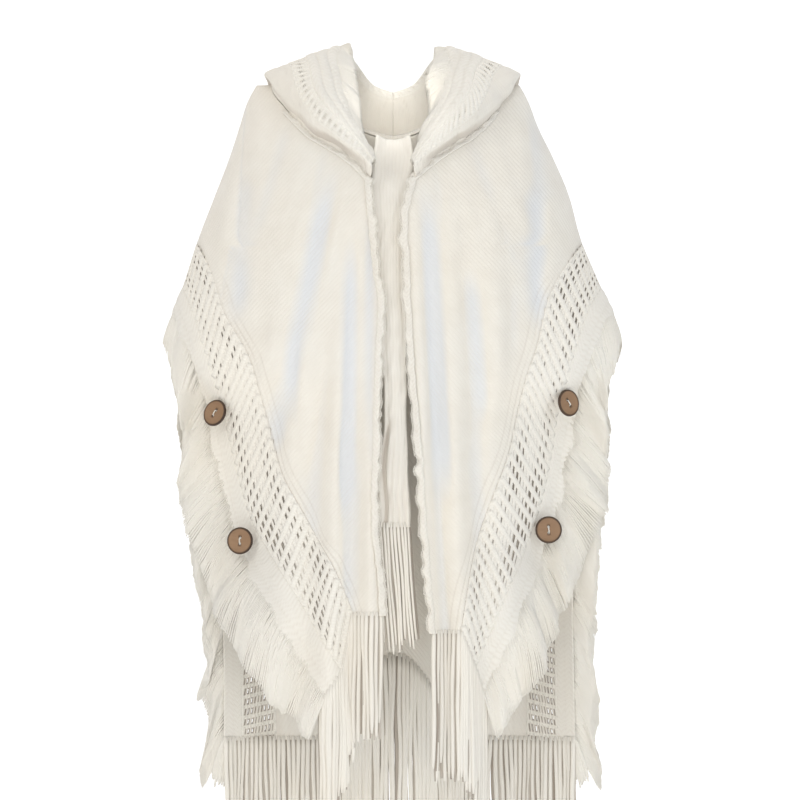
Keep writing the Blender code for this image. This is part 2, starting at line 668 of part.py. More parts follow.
def build_strings_front(side, panel):
    """Strings of one front's hem: below the panel, then below the ends of openwork and braid."""
    sign = -1 if side == "left" else 1
    hem = panel[-1][1:]
    lines = [hem]
    for a, b, steps in (("p", "q", 3), ("q", "r", 3)):
        a_x, a_z = border_point("front", side, a, 12.0)
        b_x, b_z = border_point("front", side, b, 12.0)
        share = np.linspace(0, 1, steps + 1)[1:]
        x, z = a_x + (b_x - a_x) * share, a_z + (b_z - a_z) * share
        lines.append(np.stack([x - sign * 1.6, cloth_y("front", x, z), z], -1))
    top = np.concatenate(lines)
    order = np.argsort(FRONT_TIPS["x"])
    tips = np.interp(top[:, 0], FRONT_TIPS["x"][order], FRONT_TIPS["z"][order])
    top[:, 2] -= SEAM + 1.5
    share = np.linspace(0, 1, 4)[:, None, None]
    grid = np.repeat(top[None], 4, axis=0)
    drop = (tips - top[:, 2])[None, :, None] * share
    grid = grid + drop * np.array([0, 0, 1.0])
    wall(f"hem_strings_front_{side}", grid, grid_normals(grid), STRINGS)


def build_strings_back(panel):
    lines = []
    for side, order in (("left", 1), ("right", -1)):
        outer, middle = (border_point("back", side, letter, 12.0) for letter in ("r", "q"))
        part = np.array([[float(p[0]), float(cloth_y("back", p[0], p[1])), float(p[1])] for p in (outer, middle)])
        lines.append(part[::order])
    top = np.concatenate([lines[0], panel[-1], lines[1]])
    top[0, 0] += 0.6
    top[-1, 0] -= 0.6
    tips = np.interp(top[:, 0], BACK_TIPS["x"], BACK_TIPS["z"])
    top[:, 2] -= SEAM + 1.5
    share = np.linspace(0, 1, 4)[:, None, None]
    grid = np.repeat(top[None], 4, axis=0) + (tips - top[:, 2])[None, :, None] * share * np.array([0, 0, 1.0])
    wall("hem_strings_back", grid, grid_normals(grid), STRINGS)


def band_grid(heights):
    cross = np.linspace(-1, 1, 5)
    grid = []
    for z in heights:
        x = float(at(CENTRE_BAND, "x", z)) + cross * float(at(CENTRE_BAND, "half", z))
        bulge = float(at(CENTRE_BAND, "bulge", z)) * (1 - cross**2)
        reach = float(at(CENTRE_BAND, "half", z)) + 10
        y = float(cloth_y("front", np.linspace(-reach, reach, 21), z).max()) + BAND_BEHIND - bulge
        grid.append(np.stack([x, y, np.full(5, float(z))], -1))
    return np.array(grid)


def build_centre_band():
    grid = band_grid(np.linspace(CENTRE_BAND["z"][0], CENTRE_BAND["z"][-1], 14))
    normals = grid_normals(grid)
    wall("centre_band", grid, normals, KNIT)
    top = grid[-1] + np.array([0, 0, -SEAM])
    share = np.linspace(0, 1, 4)[:, None, None]
    strings = np.repeat(top[None], 4, axis=0) + np.array([14.0, 0, -176.0]) * share
    wall("centre_band_strings", strings, grid_normals(strings), 4.0)


def button_place(number):
    """The middle of a button's underside, and the way it faces."""
    x, z = BUTTONS["x"][number], BUTTONS["z"][number]
    lean = np.array([BUTTONS[name][number] for name in ("lean_x", "lean_y", "lean_z")])
    lean /= np.linalg.norm(lean)
    root = np.array([x, z])
    for _ in range(5):
        y = float(cloth_y("front", *root))
        # It faces partly as the braid under it does, and clears the braid's highest point.
        turn = np.arange(16) * math.pi / 8
        ring = np.stack([np.cos(turn), np.sin(turn)], -1)
        near = np.concatenate([ring * reach for reach in (0, 8, 14, BUTTON_RADIUS + 0.5)]) + root
        near = np.stack([near[:, 0], cloth_y("front", near[:, 0], near[:, 1]), near[:, 1]], -1)
        normal = cloth_normal("front", near[:, 0], near[:, 2]).sum(0)
        normal = 0.4 * normal / np.linalg.norm(normal) + 0.6 * lean
        normal /= np.linalg.norm(normal)
        rise = float(((near - (root[0], y, root[1])) @ normal).max())
        away = rise + BORDER / 2 + SEAM + 2.6
        place = np.array([root[0], y, root[1]]) + normal * away
        middle = place + normal * BUTTON_THICK / 2
        root = root + (x - middle[0], z - middle[2])
    return place, normal


def build_button(number, name):
    """A two-hole wooden button with a raised rim, lying on the braid."""
    place, normal = button_place(number)
    rim, top = BUTTON_RADIUS, BUTTON_THICK
    profile = (
        (0, 0), (rim - 1.2, 0), (rim, 1.2), (rim, top - 1.0), (rim - 1.0, top),
        (rim - 2.6, top), (rim - 3.8, top - 0.9), (0, top - 0.9),
    )
    sides = 28
    points, faces = [], []
    for radius, height in profile[1:-1]:
        for i in range(sides):
            angle = 2 * math.pi * i / sides
            points.append((radius * math.cos(angle) * MM, radius * math.sin(angle) * MM, height * MM))
    rings = len(profile) - 2
    for ring in range(rings - 1):
        for i in range(sides):
            a, b = ring * sides + i, ring * sides + (i + 1) % sides
            faces.append((a, b, b + sides, a + sides))
    faces.append(tuple(range(sides - 1, -1, -1)))
    faces.append(tuple(range((rings - 1) * sides, rings * sides)))
    mesh = bpy.data.meshes.new(name)
    mesh.from_pydata(points, [], faces)
    mesh.shade_smooth()
    mesh.set_sharp_from_angle(angle=math.radians(40))
    obj = bpy.data.objects.new(name, mesh)
    mesh.materials.append(material(name, WOOD, 0.45))
    bpy.context.scene.collection.objects.link(obj)
    face_out = Vector(normal).to_track_quat("Z", "Y").to_matrix().to_4x4()
    face_out = face_out @ Matrix.Rotation(math.radians(BUTTONS["turn"][number]), 4, "Z")
    obj.matrix_world = Matrix.Translation(Vector(place) * MM) @ face_out
    for hole in (-1, 1):
        bpy.ops.mesh.primitive_cylinder_add(vertices=12, radius=HOLE_RADIUS * MM, depth=4 * BUTTON_THICK * MM)
        cutter = bpy.context.active_object
        cutter.name = f"{name}_hole_{'a' if hole < 0 else 'b'}"
        cutter.hide_render = True
        cutter.display_type = "WIRE"
        cutter.matrix_world = obj.matrix_world @ Matrix.Translation((hole * HOLE_APART / 2 * MM, 0, 0))
        cut = obj.modifiers.new("hole", "BOOLEAN")
        cut.operation = "DIFFERENCE"
        cut.solver = "EXACT"
        cut.object = cutter
    return obj


def main():
    for obj in list(bpy.data.objects):
        bpy.data.objects.remove(obj, do_unlink=True)
    back = back_panel()
    for side in ("left", "right"):
        front = front_panel(side)
        normals = panel_normals("front", front)
        piece = front.copy()
        piece[len(ROWS_TOP) :] = shift_ends(front[len(ROWS_TOP) :], 0, SEWN)
        wall(f"front_panel_{side}", piece, normals, KNIT)
        build_edging(side, front, normals)
        build_strings_front(side, front)
        build_hood(side, hood_base(side, front, back))
        for face in ("front", "back"):
            openwork = border_grid(face, side, "p", "q", 2)
            braid = border_grid(face, side, "q", "r", 2)
            wall(f"{face}_openwork_{side}", shift_ends(openwork, SEWN, SEWN), panel_normals(face, openwork), BORDER)
            wall(f"{face}_braid_{side}", shift_ends(braid, SEWN, SEWN), panel_normals(face, braid), BORDER)
            build_feather(face, side)
    piece = back.copy()
    piece[len(ROWS_TOP) :] = shift_ends(back[len(ROWS_TOP) :], SEWN, SEWN)
    wall("back_panel", piece, panel_normals("back", back), KNIT)
    build_strings_back(back)
    build_centre_band()
    for number, name in enumerate(("button_left_upper", "button_left_lower", "button_right_upper", "button_right_lower")):
        build_button(number, name)


main()
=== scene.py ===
import math

import bmesh
import bpy
import numpy as np
from mathutils import Matrix, Vector


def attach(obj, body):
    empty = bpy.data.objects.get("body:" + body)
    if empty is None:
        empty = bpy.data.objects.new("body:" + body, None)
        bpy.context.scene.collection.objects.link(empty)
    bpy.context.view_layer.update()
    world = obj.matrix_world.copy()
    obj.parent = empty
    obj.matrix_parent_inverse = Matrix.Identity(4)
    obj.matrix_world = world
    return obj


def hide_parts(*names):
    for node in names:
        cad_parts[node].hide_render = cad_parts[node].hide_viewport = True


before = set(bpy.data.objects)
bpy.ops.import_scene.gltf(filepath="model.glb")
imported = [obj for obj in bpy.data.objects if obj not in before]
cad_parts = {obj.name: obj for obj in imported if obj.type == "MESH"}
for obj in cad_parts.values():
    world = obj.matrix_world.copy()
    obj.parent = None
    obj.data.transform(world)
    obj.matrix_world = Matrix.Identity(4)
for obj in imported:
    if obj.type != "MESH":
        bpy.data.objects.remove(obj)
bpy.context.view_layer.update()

MM = 0.001
KNIT = 2.6  # wall of the plain knit
BORDER = 3.0  # wall of openwork and braid
FEATHER = 4.0  # wall of the cut-yarn fringe
STRINGS = 5.0  # wall of the string fringe
SEAM = 0.3  # gap between pieces sewn together
SEWN = 0.8  # how far each border piece is drawn back from its seam line, which slants
SHAPE = 2.2  # how square the body section is: 2 is an ellipse
EDGING = 9.0  # width of the edging along neckline and centre front
OPENWORK_WIDTH, BRAID_WIDTH = 30.0, 58.0  # on the hood
ROOT = 3.0  # how far outside the braid's edge a fringe starts, because it bends away there
STAND = 2.8  # height of the hood's lowest edge above the panels' edge
BUTTON_RADIUS, BUTTON_THICK = 19.0, 4.2
HOLE_RADIUS, HOLE_APART = 2.0, 8.0
STATIONS = 16  # steps along each border
ROWS_TOP = (58, 50, 38, 24, 8, -10, -30, -54, -80, -108, -136, -165)
ARM_EDGE = (-165, -224, -267)  # heights on the arm ridge of panel edge, openwork edge, braid edge
BACK_HEM = -862

CREAM = (0.82, 0.78, 0.69, 1)
WOOD = (0.27, 0.155, 0.085, 1)


def table(names, *rows):
    return {name: np.array([row[i] for row in rows], float) for i, name in enumerate(names.split())}


# Sections of the worn cloth at each height: half widths, depth, how round its side is, and the
# flat lip at the side where front and back are buttoned together.
FRONT = table(
    "z left right deep round lip lip_y lip_slope",
    (58, 190, 176, 0.5, 2.0, 0, 0, 0),
    (50, 195, 181, 24, 2.0, 0, 0, 0),
    (32, 204, 190, 48, 2.0, 0, 0, 0),
    (0, 214, 202, 78, 2.0, 0, 0, 0),
    (-43, 228, 223, 104, 2.0, 0, 0, 0),
    (-98, 249, 246, 124, 2.0, 0, 0, 0),
    (-158, 272, 262, 136, 2.0, 0, 0, 0),
    (-218, 291, 287, 144, 2.0, 0, 0, 0),
    (-267, 308, 308, 148, 1.8, 0, 0, 0),
    (-305, 298, 294, 150, 1.7, 4, -26, 0.05),
    (-343, 287, 284, 150, 1.6, 10, -30, 0.15),
    (-402, 268, 263, 150, 1.4, 26, -3, 0.35),
    (-460, 255, 252, 150, 1.4, 26, -9, 0.30),
    (-520, 244, 241, 150, 1.4, 26, -9, 0.25),
    (-578, 231, 225, 150, 1.4, 26, -5, 0.20),
    (-640, 228, 222, 150, 1.5, 10, -12, 0.10),
    (-720, 224, 220, 148, 1.6, 0, -20, 0),
    (-813, 218, 218, 146, 1.7, 0, -30, 0),
    (-900, 212, 214, 144, 1.7, 0, -34, 0),
)
BACK = table(
    "z left right deep round lip lip_y lip_slope",
    (58, 190, 176, 0.5, 2.0, 0, 0, 0),
    (50, 195, 181, 26, 2.0, 0, 0, 0),
    (32, 204, 190, 50, 2.0, 0, 0, 0),
    (0, 214, 202, 80, 2.0, 0, 0, 0),
    (-43, 228, 223, 104, 2.0, 0, 0, 0),
    (-98, 249, 246, 124, 2.0, 0, 0, 0),
    (-158, 272, 262, 132, 2.0, 0, 0, 0),
    (-218, 291, 287, 136, 2.0, 0, 0, 0),
    (-267, 308, 308, 138, 1.8, 0, 0, 0),
    (-305, 299, 294, 140, 1.7, 4, 26, 0),
    (-350, 288, 285, 140, 1.6, 10, 30, 0.10),
    (-402, 277, 276, 140, 1.5, 24, 8, 0.35),
    (-452, 266, 268, 138, 1.5, 24, 10, 0.30),
    (-510, 257, 261, 136, 1.5, 24, 9, 0.25),
    (-578, 249, 254, 134, 1.5, 24, 5, 0.20),
    (-650, 248, 260, 132, 1.6, 10, 14, 0.10),
    (-720, 258, 272, 128, 1.6, 0, 20, 0),
    (-862, 268, 286, 122, 1.6, 0, 22, 0),
    (-1050, 268, 286, 118, 1.6, 0, 24, 0),
)
# The largest folds: a ridge (height above 0) or a trough running down the cloth, at signed x.
FRONT_FOLDS = table(
    "x_top z_top x_low z_low width height",
    (-104, -60, -146, -520, 26, 7),
    (-84, -95, -112, -560, 16, -9),
    (-64, -100, -86, -640, 17, 9),
    (-44, -130, -60, -690, 13, -9),
    (-27, -150, -32, -700, 12, 8),
    (30, -140, 56, -690, 12, 7),
    (44, -100, 72, -700, 13, -10),
    (64, -90, 98, -660, 18, 9),
    (92, -120, 118, -560, 16, -8),
    (122, -70, 158, -520, 24, 7),
)
BACK_FOLDS = table(
    "x_top z_top x_low z_low width height",
    (-150, -90, -172, -860, 24, 7),
    (-98, -110, -112, -860, 22, -8),
    (-46, -215, -56, -860, 22, 9),
    (6, -225, 2, -860, 18, -7),
    (52, -215, 62, -860, 22, 8),
    (104, -110, 118, -860, 24, -8),
    (152, -90, 176, -860, 24, 7),
)
# Inner edge of each front panel: the neckline down to -80, then the centre front.
INNER = table(
    "z left right",
    (58, 170, 158),
    (48, 168, 156),
    (24, 150, 144),
    (0, 130, 126),
    (-20, 108, 105),
    (-38, 78, 76),
    (-60, 49, 46),
    (-80, 31, 24),
    (-139, 26, 12),
    (-200, 20, 15),
    (-251, 13, 17),
    (-340, 18, 23),
    (-450, 21, 33),
    (-560, 23, 40),
    (-620, 15, 45),
    (-710, 10, 52),
)
# The borders, a row for each station from the arm ridge (0) to the hem (12): the panel's edge p,
# the openwork's outer edge q, the braid's outer edge r and the feather fringe's tips f.
STRIP = "k p p_z q q_z r r_z f f_z f_y"
BORDERS = {
    ("front", "left"): table(
        STRIP,
        (0, 274, -165, 293, -224, 308, -267, 322, -302, 0),
        (1, 248, -216, 274, -267, 298, -305, 310, -343, -10),
        (2, 238, -253, 263, -305, 287, -343, 301, -382, -12),
        (4, 200, -323, 239, -385, 264, -418, 294, -458, -6),
        (5, 185, -371, 228, -434, 254, -466, 302, -504, -4),
        (6, 171, -426, 214, -491, 244, -520, 293, -552, -4),
        (7, 153, -486, 196, -550, 231, -578, 268, -620, -8),
        (8, 127, -535, 169, -595, 214, -623, 249, -675, -14),
        (10, 83, -613, 119, -675, 160, -712, 189, -775, -12),
        (12, 55, -679, 71, -756, 101, -806, 126, -842, -6),
    ),
    ("front", "right"): table(
        STRIP,
        (0, 265, -165, 290, -224, 308, -267, 319, -300, 0),
        (1, 233, -208, 270, -257, 293, -301, 307, -340, -14),
        (2, 217, -240, 258, -291, 284, -333, 298, -372, -12),
        (4, 200, -308, 238, -363, 263, -402, 300, -440, -6),
        (5, 186, -349, 228, -406, 255, -445, 305, -480, -4),
        (6, 174, -396, 221, -455, 245, -494, 298, -533, -4),
        (7, 161, -455, 210, -508, 234, -550, 276, -592, -8),
        (8, 141, -511, 195, -559, 217, -601, 251, -648, -14),
        (10, 112, -596, 155, -654, 178, -696, 205, -756, -12),
        (12, 95, -704, 113, -752, 129, -802, 152, -838, -6),
    ),
    ("back", "left"): table(
        STRIP,
        (0, 274, -165, 293, -224, 308, -267, 322, -302, 0),
        (1, 262, -225, 284, -270, 299, -305, 313, -342, 10),
        (2, 248, -290, 272, -325, 288, -350, 304, -388, 12),
        (4, 222, -420, 250, -440, 266, -452, 296, -488, 6),
        (6, 202, -550, 232, -560, 250, -566, 284, -602, 5),
        (8, 180, -650, 218, -656, 241, -660, 268, -696, 8),
        (10, 170, -755, 214, -758, 238, -760, 266, -796, 8),
        (12, 165, -862, 213, -862, 238, -862, 269, -902, 8),
    ),
    ("back", "right"): table(
        STRIP,
        (0, 265, -165, 290, -224, 308, -267, 319, -300, 0),
        (1, 252, -225, 276, -265, 294, -300, 309, -338, 10),
        (2, 240, -290, 266, -320, 285, -345, 303, -385, 12),
        (4, 222, -420, 250, -440, 268, -452, 302, -488, 6),
        (6, 208, -550, 238, -560, 255, -566, 290, -602, 5),
        (8, 196, -650, 230, -656, 252, -660, 284, -696, 8),
        (10, 191, -755, 231, -758, 254, -760, 287, -796, 8),
        (12, 189, -862, 232, -862, 256, -862, 291, -902, 8),
    ),
}
# Guide lines of one half of the hood, from the centre front (0) over the shoulder (0.54) to the
# centre back (1). Its cloth starts at the neck seam and passes them in this order.
GUIDE = "s out y z"
HOOD = (
    table(  # stand above the neck seam, at the back the pouch's inner wall
        GUIDE,
        (0, 31, -121, -72), (0.10, 46, -113, -55), (0.22, 79, -98, -27), (0.34, 111, -80, -9),
        (0.45, 153, -38, 34), (0.54, 174, 0, 67), (0.66, 146, 60, 26), (0.78, 100, 100, -30),
        (0.90, 48, 134, -80), (1, 0, 140, -95),
    ),
    table(  # lower fold that overhangs the neck seam, at the back the pouch's bottom
        GUIDE,
        (0, 29, -129, -62), (0.10, 44, -125, -44), (0.22, 80, -112, -18), (0.34, 111, -96, 4),
        (0.45, 152, -52, 46), (0.54, 179, -4, 75), (0.66, 157, 82, 10), (0.78, 104, 122, -72),
        (0.90, 50, 148, -150), (1, 0, 156, -185),
    ),
    table(  # middle of the top, at the back the pouch's outer wall
        GUIDE,
        (0, 29, -127, -55), (0.10, 47, -119, -29), (0.22, 78, -104, 5), (0.34, 104, -86, 34),
        (0.45, 133, -47, 67), (0.54, 153, -4, 86), (0.66, 138, 70, 68), (0.78, 96, 126, 24),
        (0.90, 46, 166, -42), (1, 0, 174, -62),
    ),
    table(  # crest, at the back the inside of the rim
        GUIDE,
        (0, 28, -122, -50), (0.10, 48, -109, -19), (0.22, 74, -91, 17), (0.34, 93, -70, 46),
        (0.45, 110, -37, 78), (0.54, 120, -2, 96), (0.66, 98, 40, 104), (0.78, 61, 96, 94),
        (0.90, 27, 134, 57), (1, 0, 142, 47),
    ),
    table(  # just past the crest, at the back the outside of the rim
        GUIDE,
        (0, 27, -118, -48), (0.10, 44, -103, -18), (0.22, 65, -82, 15), (0.34, 80, -62, 43),
        (0.45, 92, -33, 76), (0.54, 99, 0, 98), (0.66, 84, 41, 111), (0.78, 61, 105, 103),
        (0.90, 28, 145, 64), (1, 0, 153, 54),
    ),
    table(  # free edge
        GUIDE,
        (0, 26, -114, -49), (0.10, 40, -96, -24), (0.22, 55, -74, 6), (0.34, 65, -53, 31),
        (0.45, 73, -28, 64), (0.54, 78, 2, 93), (0.66, 73, 43, 113), (0.78, 64, 116, 97),
        (0.90, 34, 158, 50), (1, 0, 166, 36),
    ),
)
HOOD_TIPS = table(
    GUIDE,
    (0, 26, -104, -54), (0.10, 33, -76, -34), (0.22, 42, -53, -7), (0.34, 46, -36, 21),
    (0.45, 48, -18, 55), (0.54, 53, 7, 88), (0.66, 59, 46, 114), (0.72, 62, 91, 106),
    (0.78, 67, 129, 89), (0.84, 58, 157, 57),
    (0.90, 40, 174, 20), (1, 2.5, 182, 2),
)
CENTRE_BAND = table(  # it hangs just inside the fronts, its top tucked behind the hood's front ends
    "z x half bulge",
    (-14, 0, 23, -12), (-62, 0, 25, -5), (-94, -3, 27, 2), (-130, -3, 27, 3), (-230, -2, 24, 4),
    (-290, 0, 20, 5), (-335, 2.5, 16, 5),
    (-410, 3.5, 14.5, 5), (-480, 0, 21, 4), (-557, 0, 24, 3),
)
BAND_BEHIND = 8.0  # how far the centre band hangs behind the fronts
# String fringe hung from each hem: height of its tips at signed x.
FRONT_TIPS = table(
    "x z",
    (-105, -990), (-85, -955), (-71, -925), (-55, -862), (-30, -848), (-8, -838),
    (40, -880), (60, -906), (95, -900), (113, -940), (133, -990),
)
BACK_TIPS = table("x z", (-240, -1040), (-120, -1046), (0, -1040), (130, -1046), (258, -1038))
ARCH_HALF, ARCH_RISE = 115, 118  # the back's hem is drawn up in the middle
# On the braid of each front: the disc's middle, the way it leans out and the turn of its two holes.
BUTTONS = table(
    "side x z lean_x lean_y lean_z turn",
    (-1, -248, -400, -0.31, -0.78, 0.54, 62), (-1, -213, -578, 0.05, -1, 0.12, 88),
    (1, 244, -386, 0.46, -0.72, 0.50, 120), (1, 217, -563, -0.10, -0.97, 0.18, 92),
)


def smooth(xs, ys, x):
    """Monotone cubic through (xs, ys), xs rising."""
    x = np.asarray(x, float)
    h = np.diff(xs)
    d = np.diff(ys) / h
    m = np.empty(len(ys))
    m[0], m[-1] = d[0], d[-1]
    same = d[:-1] * d[1:] > 0
    m[1:-1] = np.where(same, 2 * d[:-1] * d[1:] / np.where(same, d[:-1] + d[1:], 1), 0)
    i = np.clip(np.searchsorted(xs, x, side="right") - 1, 0, len(xs) - 2)
    t = np.clip((x - xs[i]) / h[i], 0, 1)
    a, b = ys[i], ys[i + 1]
    return (
        a * (1 + 2 * t) * (1 - t) ** 2
        + b * t * t * (3 - 2 * t)
        + h[i] * (m[i] * t * (1 - t) ** 2 - m[i + 1] * t * t * (1 - t))
    )


def at(rows, column, z):
    return smooth(-rows["z"], rows[column], -np.asarray(z, float))


def half_width(face, x, z):
    rows = FRONT if face == "front" else BACK
    return np.where(np.asarray(x) < 0, at(rows, "left", z), at(rows, "right", z))


def folds(face, x, z):
    rows = FRONT_FOLDS if face == "front" else BACK_FOLDS
    total = np.zeros(np.broadcast(x, z).shape)
    for i in range(len(rows["height"])):
        down = (rows["z_top"][i] - z) / (rows["z_top"][i] - rows["z_low"][i])
        middle = rows["x_top"][i] + (rows["x_low"][i] - rows["x_top"][i]) * down
        grow = np.clip(down * 1.6, 0, 1)
        grow = grow * grow * (3 - 2 * grow)
        total = total + rows["height"][i] * grow * np.exp(-(((x - middle) / rows["width"][i]) ** 2))
    return total


def cloth_y(face, x, z):
    """Height field of the front or the back: y at (x, z)."""
    x, z = np.broadcast_arrays(np.asarray(x, float), np.asarray(z, float))
    rows = FRONT if face == "front" else BACK
    sign = -1 if face == "front" else 1
    wide = half_width(face, x, z)
    lip, lip_y, slope = (at(rows, name, z) for name in ("lip", "lip_y", "lip_slope"))
    flat = wide - lip
    start = lip_y - slope * lip
    total = np.zeros(x.shape)
    # The crease where the lip begins is rounded by averaging over a stretch as wide as the lip.
    for step in (-0.5, -0.25, 0, 0.25, 0.5):
        out = np.abs(np.abs(x) + step * lip)
        q = np.clip(out / flat, 0, 1)
        bulge = (1 - q**SHAPE) ** (1 / at(rows, "round", z))
        y = start + (sign * at(rows, "deep", z) - start) * bulge
        total = total + np.where(out > flat, lip_y - slope * (wide - out), y) / 5
    y = total
    fade = np.clip((1 - np.abs(x) / flat) / 0.25, 0, 1)
    return y + sign * (folds(face, x, z) * fade * fade * (3 - 2 * fade) + SEAM / 2)


def cloth_normal(face, x, z):
    """Unit normals of the height field, pointing away from the body."""
    step = 0.4
    sign = -1 if face == "front" else 1
    wide = half_width(face, x, z)
    side = np.where(x < 0, -1.0, 1.0)
    x_a = np.clip(np.abs(x) - step, 0, None) * side
    x_b = np.minimum(np.abs(x) + step, np.maximum(wide, np.abs(x))) * side
    near = np.abs(x_b - x_a) > step / 2
    by_x = (cloth_y(face, x_b, z) - cloth_y(face, x_a, z)) / np.where(near, x_b - x_a, 1)
    by_z = (cloth_y(face, x, z + step) - cloth_y(face, x, z - step)) / (2 * step)
    normal = np.stack([-by_x, np.ones_like(x), -by_z], -1) * sign
    # On the ridge itself the surface stands upright: its normal has no y.
    rows = FRONT if face == "front" else BACK
    on_ridge = (np.abs(x) > wide - 0.05) & (at(rows, "lip", z) < 0.01)
    lean = (half_width(face, x, z - step) - half_width(face, x, z + step)) / (2 * step)
    upright = np.stack([side, np.zeros_like(x), lean], -1)
    normal = np.where(on_ridge[..., None], upright, normal)
    normal[..., 1] = np.where(np.asarray(z) > ROWS_TOP[0] - 0.1, 0, normal[..., 1])
    return normal / np.linalg.norm(normal, axis=-1, keepdims=True)


def spaced(points, fractions):
    """Points at these fractions of a polyline's length."""
    lengths = np.concatenate([[0], np.cumsum(np.linalg.norm(np.diff(points, axis=0), axis=1))])
    want = np.asarray(fractions) * lengths[-1]
    return np.stack([np.interp(want, lengths, points[:, i]) for i in range(points.shape[1])], -1)


def shift_ends(grid, first=0.0, last=0.0):
    """The grid with its first and last columns drawn inwards along its rows, in millimetres."""
    grid = grid.copy()
    for end, inner, by in ((0, 1, first), (-1, -2, last)):
        way = grid[:, inner] - grid[:, end]
        size = np.linalg.norm(way, axis=1, keepdims=True)
        grid[:, end] += way / size * np.minimum(by, size / 3)
    return grid


def grid_normals(grid):
    along = np.gradient(grid, axis=0)
    across = np.gradient(grid, axis=1)
    normal = np.cross(along, across)
    return normal / np.maximum(np.linalg.norm(normal, axis=-1, keepdims=True), 1e-9)


def border_point(face, side, letter, k):
    """(x, z) of a border line at station k; at the arm it lies on the ridge."""
    rows = BORDERS[face, side]
    sign = -1 if side == "left" else 1
    out = smooth(rows["k"], rows[letter], k)
    z = smooth(rows["k"], rows[letter + "_z"], k)
    if letter != "f":
        out = np.where(np.asarray(k) == 0, half_width(face, sign, z), out)
    return sign * out, z


def section(face, x_in, x_out, z, fractions):
    """Points of the section at one height, from x_in to x_out, spaced by these fractions."""
    side = -1 if x_out < 0 else 1
    wide = float(half_width(face, side, z))
    far = math.acos(min(1, max(-1, (min(abs(x_out) / wide, 1)) ** 1.1)))
    near = math.acos(min(1, (abs(x_in) / wide) ** 1.1))
    turn = np.linspace(near, far, 60)
    x = side * wide * np.clip(np.cos(turn), 0, 1) ** (1 / 1.1)
    x[0], x[-1] = x_in, x_out
    z = np.full_like(x, z)
    return spaced(np.stack([x, cloth_y(face, x, z), z], -1), fractions)


def neck_height(out, end):
    """Height of the back neckline."""
    return -17 + 75 * np.clip(out / end, 0, 1) ** 1.35


def catmull(points, steps):
    """Smooth curve through control points, with their indices along it."""
    points = np.asarray(points, float)
    ends = np.concatenate([[2 * points[0] - points[1]], points, [2 * points[-1] - points[-2]]])
    curve, index = [], []
    for i in range(len(points) - 1):
        a, b, c, d = ends[i : i + 4]
        gaps = [max(np.linalg.norm(q - p), 1e-6) ** 0.5 for p, q in ((a, b), (b, c), (c, d))]
        t0, t1, t2, t3 = np.cumsum([0] + gaps)
        for t in np.linspace(t1, t2, steps, endpoint=i == len(points) - 2):
            p = (t1 - t) / (t1 - t0) * a + (t - t0) / (t1 - t0) * b
            q = (t2 - t) / (t2 - t1) * b + (t - t1) / (t2 - t1) * c
            r = (t3 - t) / (t3 - t2) * c + (t - t2) / (t3 - t2) * d
            u = (t2 - t) / (t2 - t0) * p + (t - t0) / (t2 - t0) * q
            v = (t3 - t) / (t3 - t1) * q + (t - t1) / (t3 - t1) * r
            curve.append((t2 - t) / (t2 - t1) * u + (t - t1) / (t2 - t1) * v)
            index.append(i + (t - t1) / (t2 - t1))
    return np.array(curve), np.array(index)


def guide(rows, s, sign):
    return np.stack(
        [sign * smooth(rows["s"], rows["out"], s), smooth(rows["s"], rows["y"], s), smooth(rows["s"], rows["z"], s)], -1
    )


SIDES = ("left", "right")
SIGN = {"left": -1, "right": 1}


# ---------------------------------------------------------------- meshes


def put_mesh(name, points, quads, mat, uv=None, tint=None, smooth_shade=True):
    """A mesh object from points in millimetres and quads, with a UV map in metres and a tint for each point."""
    points = np.asarray(points, np.float32).reshape(-1, 3) * MM
    quads = np.asarray(quads, np.int32).reshape(-1, 4)
    mesh = bpy.data.meshes.new(name)
    mesh.vertices.add(len(points))
    mesh.vertices.foreach_set("co", points.ravel())
    mesh.loops.add(quads.size)
    mesh.loops.foreach_set("vertex_index", quads.ravel())
    mesh.polygons.add(len(quads))
    mesh.polygons.foreach_set("loop_start", np.arange(0, quads.size, 4, dtype=np.int32))
    if uv is not None:
        layer = mesh.uv_layers.new(name="cloth")
        layer.data.foreach_set("uv", np.asarray(uv, np.float32).reshape(-1, 2)[quads.ravel()].ravel())
    if tint is not None:
        attribute = mesh.attributes.new("tint", "FLOAT", "POINT")
        attribute.data.foreach_set("value", np.asarray(tint, np.float32).ravel())
    mesh.update(calc_edges=True)
    mesh.validate()
    if smooth_shade:
        mesh.shade_smooth()
    mesh.materials.append(mat)
    obj = bpy.data.objects.new(name, mesh)
    bpy.context.scene.collection.objects.link(obj)
    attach(obj, "root")
    return obj


